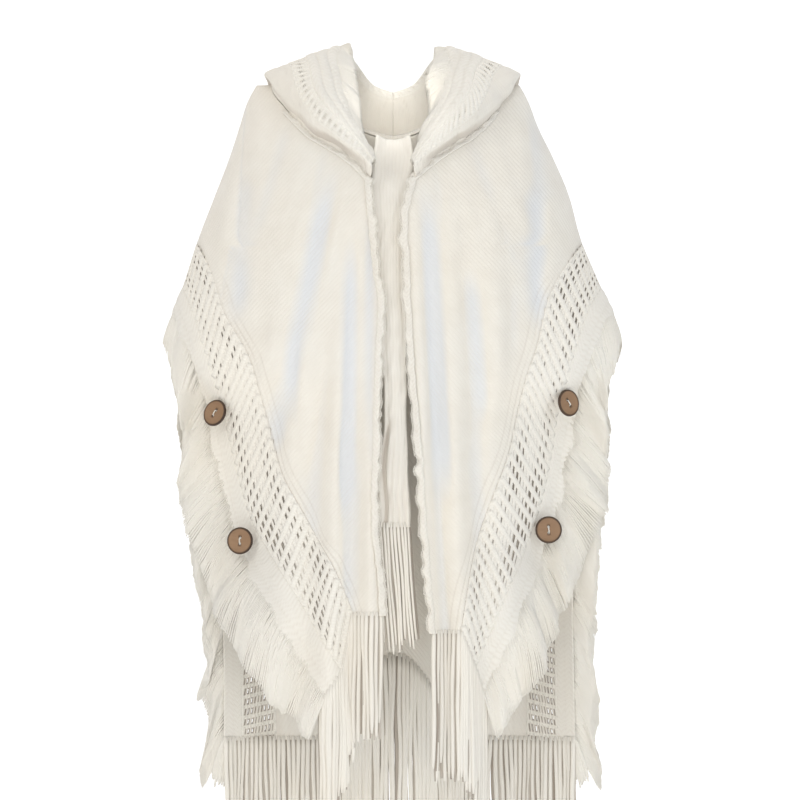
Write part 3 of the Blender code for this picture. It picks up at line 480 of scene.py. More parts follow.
def shell(name, grid, normals, thick, mat, uv, relief=None, tint=None):
    """A thin closed shell about a grid, its rim rounded. relief lifts the outer face, in millimetres."""
    rows, columns = grid.shape[:2]
    thick = np.broadcast_to(thick, (rows, columns))[..., None]
    lift = 0 if relief is None else relief[..., None]
    outer = grid + normals * (thick / 2 + lift)
    inner = grid - normals * thick / 2
    way = np.zeros_like(grid)
    for here, inside in (
        ((slice(0, 1), slice(None)), (slice(1, 2), slice(None))),
        ((slice(-1, None), slice(None)), (slice(-2, -1), slice(None))),
        ((slice(None), slice(0, 1)), (slice(None), slice(1, 2))),
        ((slice(None), slice(-1, None)), (slice(None), slice(-2, -1))),
    ):
        step = grid[here] - grid[inside]
        way[here] += step / np.maximum(np.linalg.norm(step, axis=-1, keepdims=True), 1e-6)
    edge = (outer + inner) / 2 + way * thick * 0.35
    rim = (
        [(0, j) for j in range(columns)]
        + [(i, columns - 1) for i in range(1, rows)]
        + [(rows - 1, j) for j in range(columns - 2, -1, -1)]
        + [(i, 0) for i in range(rows - 2, 0, -1)]
    )
    a, b = np.array(rim).T
    index = np.arange(rows * columns).reshape(rows, columns)
    under = index + rows * columns
    ring = 2 * rows * columns + np.arange(len(rim))
    top = np.stack([index[:-1, :-1], index[:-1, 1:], index[1:, 1:], index[1:, :-1]], -1).reshape(-1, 4)
    low = np.stack([under[:-1, :-1], under[1:, :-1], under[1:, 1:], under[:-1, 1:]], -1).reshape(-1, 4)
    nxt = np.roll(np.arange(len(rim)), -1)
    up, down = index[a, b], under[a, b]
    side_a = np.stack([up, ring, ring[nxt], up[nxt]], -1)
    side_b = np.stack([ring, down, down[nxt], ring[nxt]], -1)
    points = np.concatenate([outer.reshape(-1, 3), inner.reshape(-1, 3), edge[a, b]])
    faces = np.concatenate([top, low, side_a, side_b])
    # The faces point outwards when the first quad's normal follows the given one.
    first = np.cross(outer[0, 1] - outer[0, 0], outer[1, 1] - outer[0, 0])
    middle = (rows // 2, columns // 2)
    first = np.cross(
        outer[middle[0], middle[1] + 1] - outer[middle], outer[middle[0] + 1, middle[1]] - outer[middle]
    )
    if first @ normals[middle] < 0:
        faces = faces[:, ::-1]
    uv = np.asarray(uv)
    uv = np.concatenate([uv.reshape(-1, 2), uv.reshape(-1, 2), uv[a, b]])
    if tint is not None:
        tint = np.concatenate([tint.ravel(), tint.ravel(), tint[a, b]])
    return put_mesh(name, points, faces, mat, uv, tint)


def tubes(paths, ups, wide, high, sides):
    """(points, quads, uv) of closed tubes along paths (n, steps, 3), oval in section, sides 4, 6 or 8."""
    paths = np.asarray(paths, float)
    count, steps = paths.shape[:2]
    ups = np.broadcast_to(ups, paths.shape)
    wide = np.broadcast_to(wide, (count, steps))[..., None, None]
    high = np.broadcast_to(high, (count, steps))[..., None, None]
    along = np.gradient(paths, axis=1)
    along /= np.maximum(np.linalg.norm(along, axis=-1, keepdims=True), 1e-9)
    across = np.cross(along, ups)
    across /= np.maximum(np.linalg.norm(across, axis=-1, keepdims=True), 1e-9)
    up = np.cross(across, along)
    turn = np.arange(sides) * 2 * math.pi / sides + math.pi / sides
    ring = (
        paths[:, :, None]
        + across[:, :, None] * np.cos(turn)[:, None] * wide / 2
        + up[:, :, None] * np.sin(turn)[:, None] * high / 2
    )
    index = np.arange(count * steps * sides).reshape(count, steps, sides)
    nxt = np.roll(index, -1, axis=2)
    body = np.stack([index[:, :-1], nxt[:, :-1], nxt[:, 1:], index[:, 1:]], -1).reshape(-1, 4)
    caps = []
    for j in range(sides // 2 - 1):
        a, b, c, d = j, j + 1, sides - 2 - j, sides - 1 - j
        caps.append(index[:, 0][:, [d, c, b, a]])
        caps.append(index[:, -1][:, [a, b, c, d]])
    length = np.linalg.norm(np.diff(paths, axis=1), axis=-1)
    run = np.concatenate([np.zeros((count, 1)), np.cumsum(length, axis=1)], 1)
    u = np.broadcast_to(run[..., None], ring.shape[:3])
    v = np.broadcast_to(np.arange(sides) / sides, ring.shape[:3])
    uv = np.stack([u * MM, v], -1)
    return ring.reshape(-1, 3), np.concatenate([body] + caps), uv.reshape(-1, 2)


def join(parts):
    """One (points, quads, uv, tint) from several."""
    points, quads, uvs, tints, base = [], [], [], [], 0
    for p, q, uv, tint in parts:
        points.append(p)
        quads.append(np.asarray(q) + base)
        uvs.append(uv)
        tints.append(np.broadcast_to(tint, len(p)))
        base += len(p)
    return np.concatenate(points), np.concatenate(quads), np.concatenate(uvs), np.concatenate(tints)


def run_of(points):
    """Length along a polyline at each of its points."""
    return np.concatenate([[0], np.cumsum(np.linalg.norm(np.diff(points, axis=0), axis=1))])


class Strip:
    """A stretch of cloth as a fine grid: a runs along it from 0 to 1, b across it from 0 to 1."""

    def __init__(self, grid, normals):
        self.grid, self.normals = grid, normals
        run = run_of(grid[:, grid.shape[1] // 2])
        self.length = run[-1]
        self.share = run / run[-1]
        self.width = np.linalg.norm(np.diff(grid, axis=1), axis=-1).sum(1)

    def _mix(self, field, a, b):
        rows, columns = field.shape[:2]
        i = np.interp(a, self.share, np.arange(rows))
        j = np.clip(b, 0, 1) * (columns - 1)
        i0, j0 = np.clip(i.astype(int), 0, rows - 2), np.clip(j.astype(int), 0, columns - 2)
        s, t = (i - i0)[..., None], (j - j0)[..., None]
        return (
            field[i0, j0] * (1 - s) * (1 - t)
            + field[i0 + 1, j0] * s * (1 - t)
            + field[i0, j0 + 1] * (1 - s) * t
            + field[i0 + 1, j0 + 1] * s * t
        )

    def at(self, a, b, lift=0.0):
        a, b = np.broadcast_arrays(np.clip(np.asarray(a, float), 0, 1), np.asarray(b, float))
        normal = self.normal(a, b)
        return self._mix(self.grid, a, b) + normal * np.broadcast_to(lift, a.shape)[..., None]

    def normal(self, a, b):
        a, b = np.broadcast_arrays(np.clip(np.asarray(a, float), 0, 1), np.asarray(b, float))
        normal = self._mix(self.normals, a, b)
        return normal / np.maximum(np.linalg.norm(normal, axis=-1, keepdims=True), 1e-9)

    def width_at(self, a):
        return np.interp(a, self.share, self.width)


def waves(seed, count, low, high):
    """Lengths and phases of a few waves, for unevenness that repeats each run."""
    rng = np.random.default_rng(seed)
    return rng.uniform(low, high, count), rng.uniform(0, 2 * math.pi, count)


def uneven(seed, s, low=60, high=240, count=5):
    """A smooth uneven curve of about -1 to 1 along s, in millimetres."""
    lengths, phases = waves(seed, count, low, high)
    return sum(np.sin(2 * math.pi * s / l + p) for l, p in zip(lengths, phases)) / count**0.5 / 1.2


# ---------------------------------------------------------------- materials


class Net:
    """Small helper that wires math nodes."""

    def __init__(self, name):
        self.mat = bpy.data.materials.new(name)
        self.mat.use_nodes = True
        self.nodes, self.links = self.mat.node_tree.nodes, self.mat.node_tree.links
        self.shader = self.nodes["Principled BSDF"]

    def put(self, kind, **inputs):
        node = self.nodes.new(kind)
        for key, value in inputs.items():
            if hasattr(node, key):
                setattr(node, key, value)
        return node

    def wire(self, value, socket):
        if isinstance(value, (int, float, tuple)):
            socket.default_value = value
        else:
            self.links.new(value, socket)

    def math(self, kind, a, b=0.0, c=0.0):
        node = self.put("ShaderNodeMath", operation=kind)
        for value, socket in zip((a, b, c), node.inputs):
            self.wire(value, socket)
        return node.outputs[0]

    def noise(self, scale, detail=2.0, vector=None, rough=0.5):
        node = self.put("ShaderNodeTexNoise")
        node.inputs["Scale"].default_value = scale
        node.inputs["Detail"].default_value = detail
        node.inputs["Roughness"].default_value = rough
        if vector is not None:
            self.links.new(vector, node.inputs["Vector"])
        return node.outputs["Fac"]

    def place(self):
        return self.put("ShaderNodeTexCoord").outputs["Object"]

    def uv(self):
        node = self.put("ShaderNodeUVMap", uv_map="cloth")
        split = self.put("ShaderNodeSeparateXYZ")
        self.links.new(node.outputs[0], split.inputs[0])
        return split.outputs[0], split.outputs[1], node.outputs[0]

    def value(self, name):
        return self.put("ShaderNodeAttribute", attribute_name=name).outputs["Fac"]

    def tint(self):
        return self.value("tint")

    def mix(self, share, a, b):
        node = self.put("ShaderNodeMix", data_type="RGBA")
        self.wire(share, node.inputs[0])
        self.wire(a, node.inputs[6])
        self.wire(b, node.inputs[7])
        return node.outputs[2]

    def bump(self, height, strength, distance):
        node = self.put("ShaderNodeBump")
        node.inputs["Strength"].default_value = strength
        node.inputs["Distance"].default_value = distance
        self.links.new(height, node.inputs["Height"])
        self.links.new(node.outputs[0], self.shader.inputs["Normal"])

    def finish(self, colour, rough, sheen=0.25, sheen_rough=0.6):
        self.wire(colour, self.shader.inputs["Base Color"])
        self.shader.inputs["Roughness"].default_value = rough
        self.shader.inputs["Specular IOR Level"].default_value = 0.25
        self.shader.inputs["Sheen Weight"].default_value = sheen
        self.shader.inputs["Sheen Roughness"].default_value = sheen_rough
        return self.mat


IVORY = (0.878, 0.842, 0.752, 1)
WARM = (0.888, 0.832, 0.728, 1)
COOL = (0.836, 0.834, 0.802, 1)
DEEP = (0.690, 0.625, 0.535, 1)
SHADE = (0.170, 0.120, 0.085, 1)
# Cool grey of the painted shade in the fronts' fold troughs.
TROUGH_SHADE_GREY = (0.715, 0.742, 0.778, 1)


def cream(net, place):
    """Ivory yarn with soft warm and cool drifts, as the photo's cloth has."""
    drift = net.noise(5.0, 2.0, place)
    base = net.mix(net.math("MULTIPLY", drift, 0.9), WARM, COOL)
    grain = net.noise(420.0, 3.0, place)
    base = net.mix(net.math("MULTIPLY", grain, 0.22), base, IVORY)
    return base, grain


def rib_knit():
    """Fine rib: rows of small V stitches that run along the UV map's u, with painted shade in the rib valleys, in the
    fold troughs and wherever the tint attribute is set.
    """
    net = Net("ivory_rib_knit")
    place = net.place()
    u, v, both = net.uv()
    wander = net.noise(60.0, 2.0, place)
    v = net.math("ADD", v, net.math("MULTIPLY", wander, 0.0016))
    cell = net.math("FRACT", net.math("MULTIPLY", v, 1 / 0.0046))
    off = net.math("ABSOLUTE", net.math("SUBTRACT", cell, 0.5))  # 0 on the rib, 0.5 in the valley
    rib = net.math("SUBTRACT", 1.0, net.math("POWER", net.math("MULTIPLY", off, 2.0), 2.5))
    stitch = net.math(
        "SINE", net.math("ADD", net.math("MULTIPLY", u, 2 * math.pi / 0.0034), net.math("MULTIPLY", off, 7.0))
    )
    base, grain = cream(net, place)
    base = net.mix(net.math("MULTIPLY", net.noise(30.0, 2.0, place), 0.44), base, DEEP)
    # Painted shade: a cool grey mixed into the fronts' fold troughs, as deep as each point lies in a trough.
    base = net.mix(net.math("MULTIPLY", net.value("trough_shade"), 0.75), base, TROUGH_SHADE_GREY)
    patchy = net.math("MAXIMUM", net.math("MULTIPLY", net.math("SUBTRACT", net.noise(16.0, 2.0, place), 0.3), 2.2), 0.15)
    height = net.math("ADD", rib, net.math("MULTIPLY", stitch, 0.16))
    height = net.math("ADD", height, net.math("MULTIPLY", grain, 0.5))
    # Painted shade in the valleys between the ribs, in patches.
    valley_shade = net.math("MULTIPLY", net.math("POWER", net.math("MULTIPLY", off, 2.0), 5.0), 0.30)
    colour = net.mix(net.math("MULTIPLY", valley_shade, patchy), base, DEEP)
    # Painted shade by the tint attribute, towards dark brown: seam grooves, the hood's gather marks and the turn above
    # its shoulders, the band's slit and lower fold troughs.
    colour = net.mix(net.math("MULTIPLY", net.math("MINIMUM", net.tint(), 1.0), 0.55), colour, (0.46, 0.39, 0.32, 1))
    net.bump(height, 0.42, 0.0007)
    return net.finish(colour, 0.92)


def yarn(name, pitch, twist, fuzz, dark, depth=0.0005):
    """Twisted yarn: slanting plies along the UV map's u, and loose fibres."""
    net = Net(name)
    place = net.place()
    u, v, both = net.uv()
    base, grain = cream(net, place)
    turn = net.math("ADD", net.math("MULTIPLY", u, 2 * math.pi / pitch), net.math("MULTIPLY", v, 2 * math.pi * twist))
    ply = net.math("SINE", turn)
    shade = net.math("MULTIPLY", net.math("MULTIPLY_ADD", ply, -0.5, 0.5), dark)
    shade = net.math("MULTIPLY", shade, shade)
    # The tint attribute carries random tone and painted shade: up to 1 it darkens towards DEEP, above 0.5 it goes on
    # towards the dark SHADE.
    tint = net.tint()
    base = net.mix(net.math("MULTIPLY", net.math("MINIMUM", tint, 1.0), 0.5), base, DEEP)
    deep = net.math("MULTIPLY", net.math("MAXIMUM", net.math("SUBTRACT", tint, 0.5), 0.0), 0.95)
    base = net.mix(deep, base, SHADE)
    colour = net.mix(shade, base, DEEP)
    height = net.math("ADD", net.math("MULTIPLY", ply, 0.5), net.math("MULTIPLY", grain, fuzz))
    net.bump(height, 0.5, depth)
    return net.finish(colour, 0.9, 0.3)


def flat_string():
    """Flat string: soft fibres along the UV map's u and only a hint of plies."""
    net = Net("ivory_string_yarn")
    place = net.place()
    u, v, both = net.uv()
    base, grain = cream(net, place)
    stretch = net.put("ShaderNodeMapping")
    stretch.inputs["Scale"].default_value = (40.0, 5.0, 1.0)
    net.links.new(both, stretch.inputs["Vector"])
    fibre = net.noise(3.0, 3.0, stretch.outputs[0], 0.6)
    # The tint attribute carries random tone and painted shade: up to 1 it darkens towards DEEP, above 0.5 it goes on
    # towards the dark SHADE.
    tint = net.tint()
    base = net.mix(net.math("MULTIPLY", net.math("MINIMUM", tint, 1.0), 0.5), base, DEEP)
    deep = net.math("MULTIPLY", net.math("MAXIMUM", net.math("SUBTRACT", tint, 0.5), 0.0), 0.95)
    base = net.mix(deep, base, SHADE)
    colour = net.mix(net.math("MULTIPLY", fibre, 0.22), base, DEEP)
    height = net.math("ADD", fibre, net.math("MULTIPLY", grain, 0.35))
    net.bump(height, 0.35, 0.0007)
    return net.finish(colour, 0.9, 0.3)


def braid_cloth():
    """Dense braid: its relief is in the mesh; here are the yarn's plies and fuzz, and painted shade in the hollows by
    tint.
    """
    net = Net("ivory_braid")
    place = net.place()
    u, v, both = net.uv()
    base, grain = cream(net, place)
    ply = net.math("SINE", net.math("MULTIPLY", net.math("ADD", u, net.math("MULTIPLY", v, 0.8)), 2 * math.pi / 0.0022))
    # Painted shade towards DEEP by the tint: between the strands of the braid and of the edging.
    colour = net.mix(net.math("MULTIPLY", net.tint(), 0.55), base, DEEP)
    height = net.math("ADD", net.math("MULTIPLY", ply, 0.3), net.math("MULTIPLY", grain, 0.9))
    net.bump(height, 0.5, 0.0006)
    return net.finish(colour, 0.92, 0.3)


def wood():
    """Brown wood: growth rings and fine streaks across the disc, darker and burnt at the rim; the tint also paints
    shade on the rim's lower side and in the two holes.
    """
    net = Net("button_wood")
    place = net.place()
    stretch = net.put("ShaderNodeMapping")
    stretch.inputs["Scale"].default_value = (1.0, 0.16, 1.0)
    net.links.new(place, stretch.inputs["Vector"])
    streak = net.noise(900.0, 4.0, stretch.outputs[0], 0.6)
    wide = net.noise(160.0, 2.0, stretch.outputs[0])
    base = net.mix(net.math("MULTIPLY", wide, 1.0), (0.33, 0.20, 0.115, 1), (0.21, 0.12, 0.065, 1))
    base = net.mix(net.math("MULTIPLY", streak, 0.55), base, (0.40, 0.26, 0.155, 1))
    colour = net.mix(net.tint(), base, (0.035, 0.02, 0.013, 1))
    net.bump(streak, 0.25, 0.0002)
    net.shader.inputs["Coat Weight"].default_value = 0.15
    net.shader.inputs["Coat Roughness"].default_value = 0.35
    return net.finish(colour, 0.5, 0.0)


MATERIALS = {
    "rib": rib_knit(),
    "yarn": yarn("ivory_crochet_yarn", 0.0042, 1.0, 0.5, 0.35),
    "string": flat_string(),
    "feather": yarn("ivory_feather_yarn", 0.0060, 1.0, 0.8, 0.12, 0.0002),
    "braid": braid_cloth(),
    "wood": wood(),
}


# ---------------------------------------------------------------- plain rib panels


def stitched_edge(distance):
    """Relief beside the seam to the openwork: a groove, a welt and two fainter rows, in millimetres."""
    return (
        -0.9 * np.exp(-(((distance - 1.0) / 0.9) ** 2))
        + 0.9 * np.exp(-(((distance - 5.0) / 2.2) ** 2))
        - 0.5 * np.exp(-(((distance - 9.0) / 1.0) ** 2))
        - 0.35 * np.exp(-(((distance - 19.0) / 1.2) ** 2))
    )


# Small creases pressed into the fronts and the back: a row each, at signed x.
CREASES = {
    "front": table(
        "x_top z_top x_low z_low width height",
        (-92, -99, -164, -450, 16, -6.0), (-57, -190, -67, -520, 13, -5.5), (-32, -148, -32, -500, 9, -4.0),
        (-200, -70, -216, -260, 14, -4.0), (-224, -70, -244, -230, 9, 3.0), (-116, -90, -190, -400, 10, 2.5),
        (-75, -110, -116, -460, 10, 3.0), (-44, -140, -48, -480, 7, 2.5), (49, -120, 74, -500, 15, -5.5),
        (109, -220, 128, -400, 13, -4.0), (189, -90, 204, -270, 15, -4.5), (217, -110, 214, -230, 8, 2.5),
        (30, -130, 44, -430, 8, 3.0), (78, -120, 100, -430, 11, 3.5), (138, -120, 152, -360, 12, 3.0),
        (-206, 40, -216, -150, 2.2, -1.6), (-216, -150, -242, -250, 2.4, -1.8),
        (-186, 20, -208, -190, 14, 2.2), (196, 10, 214, -190, 12, -2.4), (176, 0, 190, -170, 12, 2.0),
        (-150, -10, -190, -150, 9, -1.3), (-118, -30, -168, -190, 8, 1.2), (-96, -42, -150, -230, 7, -1.1),
        (140, -20, 186, -150, 9, 1.2), (112, -30, 170, -200, 8, -1.3), (86, -48, 140, -240, 7, 1.0),
        (-60, -66, -96, -230, 6, 1.1), (58, -66, 92, -220, 6, -1.0),
        (-170, -230, -150, -420, 10, 1.8), (-138, -300, -128, -520, 8, -1.6),
        (168, -230, 156, -410, 10, -1.8), (140, -280, 132, -520, 8, 1.4),
        (-70, -420, -64, -660, 7, -1.6), (-38, -400, -30, -660, 6, 1.5), (62, -430, 84, -690, 7, 1.6),
        (24, -300, 40, -520, 5, -1.2),
    ),
    "back": table(
        "x_top z_top x_low z_low width height",
        (-130, -120, -150, -500, 12, 2.0), (-70, -200, -86, -640, 9, -1.8), (-24, -230, -30, -600, 8, 1.6),
        (28, -230, 34, -700, 8, -1.6), (80, -210, 90, -560, 10, 1.8), (126, -130, 150, -620, 11, -1.8),
        (-190, -60, -214, -300, 8, 1.4), (184, -60, 206, -290, 8, -1.4), (-100, -560, -96, -860, 9, 1.8),
        (100, -600, 108, -860, 9, 1.7), (0, -640, 4, -860, 8, 1.5),
    ),
}


def creases(face, x, z):
    rows = CREASES[face]
    total = np.zeros(np.broadcast(x, z).shape)
    for i in range(len(rows["height"])):
        down = (rows["z_top"][i] - z) / (rows["z_top"][i] - rows["z_low"][i])
        middle = rows["x_top"][i] + (rows["x_low"][i] - rows["x_top"][i]) * down
        ends = np.clip(np.minimum(down + 0.15, 1.15 - down) / 0.3, 0, 1)
        total = total + rows["height"][i] * ends * ends * (3 - 2 * ends) * np.exp(-(((x - middle) / rows["width"][i]) ** 2))
    return total


def rib_uv(grid, first):
    """Ribs run down and outwards at 45 degrees. first is the arc from the middle to the first column."""
    step = np.linalg.norm(np.diff(grid, axis=1), axis=-1)
    arc = np.concatenate([np.zeros((len(grid), 1)), np.cumsum(step, axis=1)], 1) + first[:, None]
    down = -grid[..., 2]
    return np.stack([(arc + down) * 0.7071, (arc - down) * 0.7071], -1) * MM


def fine_front(side):
    sign = SIGN[side]
    k = np.linspace(0, 12, 110)
    p_x, p_z = border_point("front", side, "p", k)
    heights = list(np.linspace(58, p_z[0], 50)[:-1]) + list(p_z)
    ends = [sign * float(half_width("front", sign, z)) for z in heights[:49]] + list(p_x)
    grid = []
    for z, x_out in zip(heights, ends):
        x_in = sign * float(at(INNER, side, z))
        row = section("front", x_in, float(x_out), float(z), np.linspace(0, 1, 90))
        row[:, 1] = cloth_y("front", row[:, 0], row[:, 2])
        grid.append(row)
    grid = np.array(grid)
    grid[49:] = shift_ends(grid[49:], 0, 0.5)
    return grid


def fades(grid, rows_from, first=6.0, last=6.0):
    """0 at the first and last column, 1 further in, over these widths."""
    step = np.linalg.norm(np.diff(grid, axis=1), axis=-1)
    arc = np.concatenate([np.zeros((len(grid), 1)), np.cumsum(step, axis=1)], 1)
    back = arc[:, -1:] - arc
    return np.clip(arc / first, 0, 1), np.clip(back / last, 0, 1), arc, back


def set_trough_shade(obj, grid, height):
    """Painted shade for the fold troughs: how far each point lies down in a trough, from 0 to 1, on both faces of a
    shell.
    """
    share = np.clip(-height / 4.5, 0, 1).ravel()
    values = np.zeros(len(obj.data.vertices), np.float32)
    values[: len(share)] = share
    values[len(share) : 2 * len(share)] = share
    obj.data.attributes.new("trough_shade", "FLOAT", "POINT").data.foreach_set("value", values)


def make_front(side):
    grid = fine_front(side)
    x, z = grid[..., 0], grid[..., 2]
    normals = cloth_normal("front", x, z)
    near, far, arc, back = fades(grid, 49)
    grid = grid + normals * (creases("front", x, z) * np.minimum(near, far))[..., None]
    weight = np.clip(np.arange(59) / 24, 0, 1)[None, :, None] ** 2
    for step in range(10):
        # The rows change direction where the border begins: let them pass softly into each other.
        eased = 0.5 * (grid[45:59, -60:-1] + grid[47:61, -60:-1]) - grid[46:60, -60:-1]
        grid[46:60, -60:-1] += 0.5 * weight * eased
    bent = grid_normals(grid)
    bent *= np.sign((bent * normals).sum(-1, keepdims=True))
    bent[:, -1] = normals[:, -1]
    seam_rows = np.clip((np.arange(len(grid)) - 52) / 12, 0, 1)[:, None]
    relief = stitched_edge(back) * seam_rows
    uv = rib_uv(grid, np.abs(grid[:, 0, 0]))
    shadow = np.clip(-relief, 0, 1)
    obj = shell(f"front_cloth_{side}", grid, bent, 2.0, MATERIALS["rib"], uv, relief, shadow)
    set_trough_shade(obj, grid, folds("front", x, z) * 0.3 + creases("front", x, z))
    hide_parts(f"front_panel_{side}")
    return obj, grid, normals


def arched(x, z):
    """Height of a point of the back: towards the hem, the middle is drawn up."""
    bell = 0.5 + 0.5 * np.cos(math.pi * np.clip((x - 4) / ARCH_HALF, -1, 1))
    low = np.clip((-z - 560) / 302, 0, 1)
    return z + ARCH_RISE * bell * low**2


def fine_back():
    """The back as a fine grid, and its neck seam from the left arm ridge to the right one."""
    coarse = []
    share = np.concatenate([[0], 0.085 + 0.915 * np.linspace(0, 1, 48)])
    for number in range(len(ROWS_TOP)):
        halves = []
        for side in SIDES:
            sign = SIGN[side]
            z_side = ROWS_TOP[number]
            z_mid = -17 + (ROWS_TOP[-1] + 17) * number / (len(ROWS_TOP) - 1)
            wide = float(half_width("back", sign, z_side))
            if number == 0:
                end = float(at(INNER, side, z_side))
                out = end * np.linspace(1, 0, 160)
                z = neck_height(out, end)
                x = sign * out
                neck = spaced(np.stack([x, cloth_y("back", x, z), z], -1), np.linspace(0, 1, 48))
                row = np.concatenate([[[sign * wide, SEAM / 2, z_side]], neck])
            else:
                turn = np.linspace(0, math.pi / 2, 160)
                out = wide * np.cos(turn) ** (1 / 1.1)
                z = z_mid + (z_side - z_mid) * (out / wide) ** 1.35
                z[0], out[-1] = z_side, 0
                x = sign * out
                x[0] = sign * wide
                row = spaced(np.stack([x, cloth_y("back", x, z), z], -1), share)
            halves.append(row)
        coarse.append(np.concatenate([halves[0], halves[1][-2::-1]]))
    coarse = np.array(coarse)
    # Rows between the named ones, by a monotone cubic down each column.
    number = np.arange(len(ROWS_TOP), dtype=float)
    fine = np.linspace(0, len(ROWS_TOP) - 1, 60)[:-1]
    top = np.empty((len(fine), coarse.shape[1], 3))
    for j in range(coarse.shape[1]):
        for axis in (0, 2):
            top[:, j, axis] = smooth(number, coarse[:, j, axis], fine)
    rows = list(top)
    k = np.linspace(0, 12, 110)
    left_x, heights = border_point("back", "left", "p", k)
    right_x = border_point("back", "right", "p", k)[0]
    for z, a, b in zip(heights, left_x, right_x):
        halves = [section("back", 0.0, float(end), float(z), 1 - share) for end in (a, b)]
        rows.append(np.concatenate([halves[0], halves[1][-2::-1]]))
    grid = np.array(rows)
    grid[..., 2] = arched(grid[..., 0], grid[..., 2])
    grid[..., 1] = cloth_y("back", grid[..., 0], grid[..., 2])
    grid[0, [0, -1], 1] = SEAM / 2
    grid[60:] = shift_ends(grid[60:], 0.5, 0.5)
    return grid, coarse[0]


def make_back():
    grid, neck = fine_back()
    x, z = grid[..., 0], grid[..., 2]
    normals = cloth_normal("back", x, z)
    near, far, arc, back = fades(grid, 60)
    hem = np.clip((z + 862) / 20, 0, 1)
    grid = grid + normals * (creases("back", x, z) * np.minimum(near, far) * (0.4 + 0.6 * hem))[..., None]
    bent = grid_normals(grid)
    bent *= np.sign((bent * normals).sum(-1, keepdims=True))
    bent[:, [0, -1]] = normals[:, [0, -1]]
    seam_rows = np.clip((np.arange(len(grid)) - 64) / 12, 0, 1)[:, None]
    relief = (stitched_edge(back) + stitched_edge(arc)) * seam_rows
    middle = grid.shape[1] // 2
    step = np.linalg.norm(np.diff(grid, axis=1), axis=-1)
    run = np.concatenate([np.zeros((len(grid), 1)), np.cumsum(step, axis=1)], 1)
    out = np.abs(run - run[:, middle : middle + 1])
    down = -z
    uv = np.stack([(out + down) * 0.7071, (out - down) * 0.7071], -1) * MM
    # Painted shade in the grooves beside the seams to the openwork, by the tint.
    obj = shell("back_cloth", grid, bent, 2.0, MATERIALS["rib"], uv, relief, np.clip(-relief, 0, 1))
    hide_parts("back_panel")
    return obj, grid, neck


# ---------------------------------------------------------------- borders


def border_strip(face, side, inner, outer):
    k = np.linspace(0, 12, 260)
    a_x, a_z = border_point(face, side, inner, k)
    b_x, b_z = border_point(face, side, outer, k)
    share = np.linspace(0, 1, 25)
    x = a_x[:, None] + (b_x - a_x)[:, None] * share
    z = a_z[:, None] + (b_z - a_z)[:, None] * share
    sign = SIGN[side]
    x[0] = sign * half_width(face, sign, z[0])
    return Strip(np.stack([x, cloth_y(face, x, z), z], -1), cloth_normal(face, x, z))


# Ties of the openwork across its width: middle and width, in millimetres, on a border of 66 mm.
# Pairs of slots stay open near each edge; the thin gaps beside them are nearly closed.
TIES_WIDE = (
    (2.9, 6.2), (9.2, 4.7), (17.0, 4.5), (24.4, 4.0), (30.2, 6.0), (36.3, 6.2), (42.4, 4.4), (50.1, 4.7), (57.6, 3.8),
    (63.4, 5.6),
)
TIES_HOOD = ((3.0, 7.0), (11.0, 7.2), (17.5, 9.0), (25.6, 5.2), (33.6, 4.6), (41.4, 5.4), (49.6, 9.0), (58.5, 9.5), (64.5, 4.0))


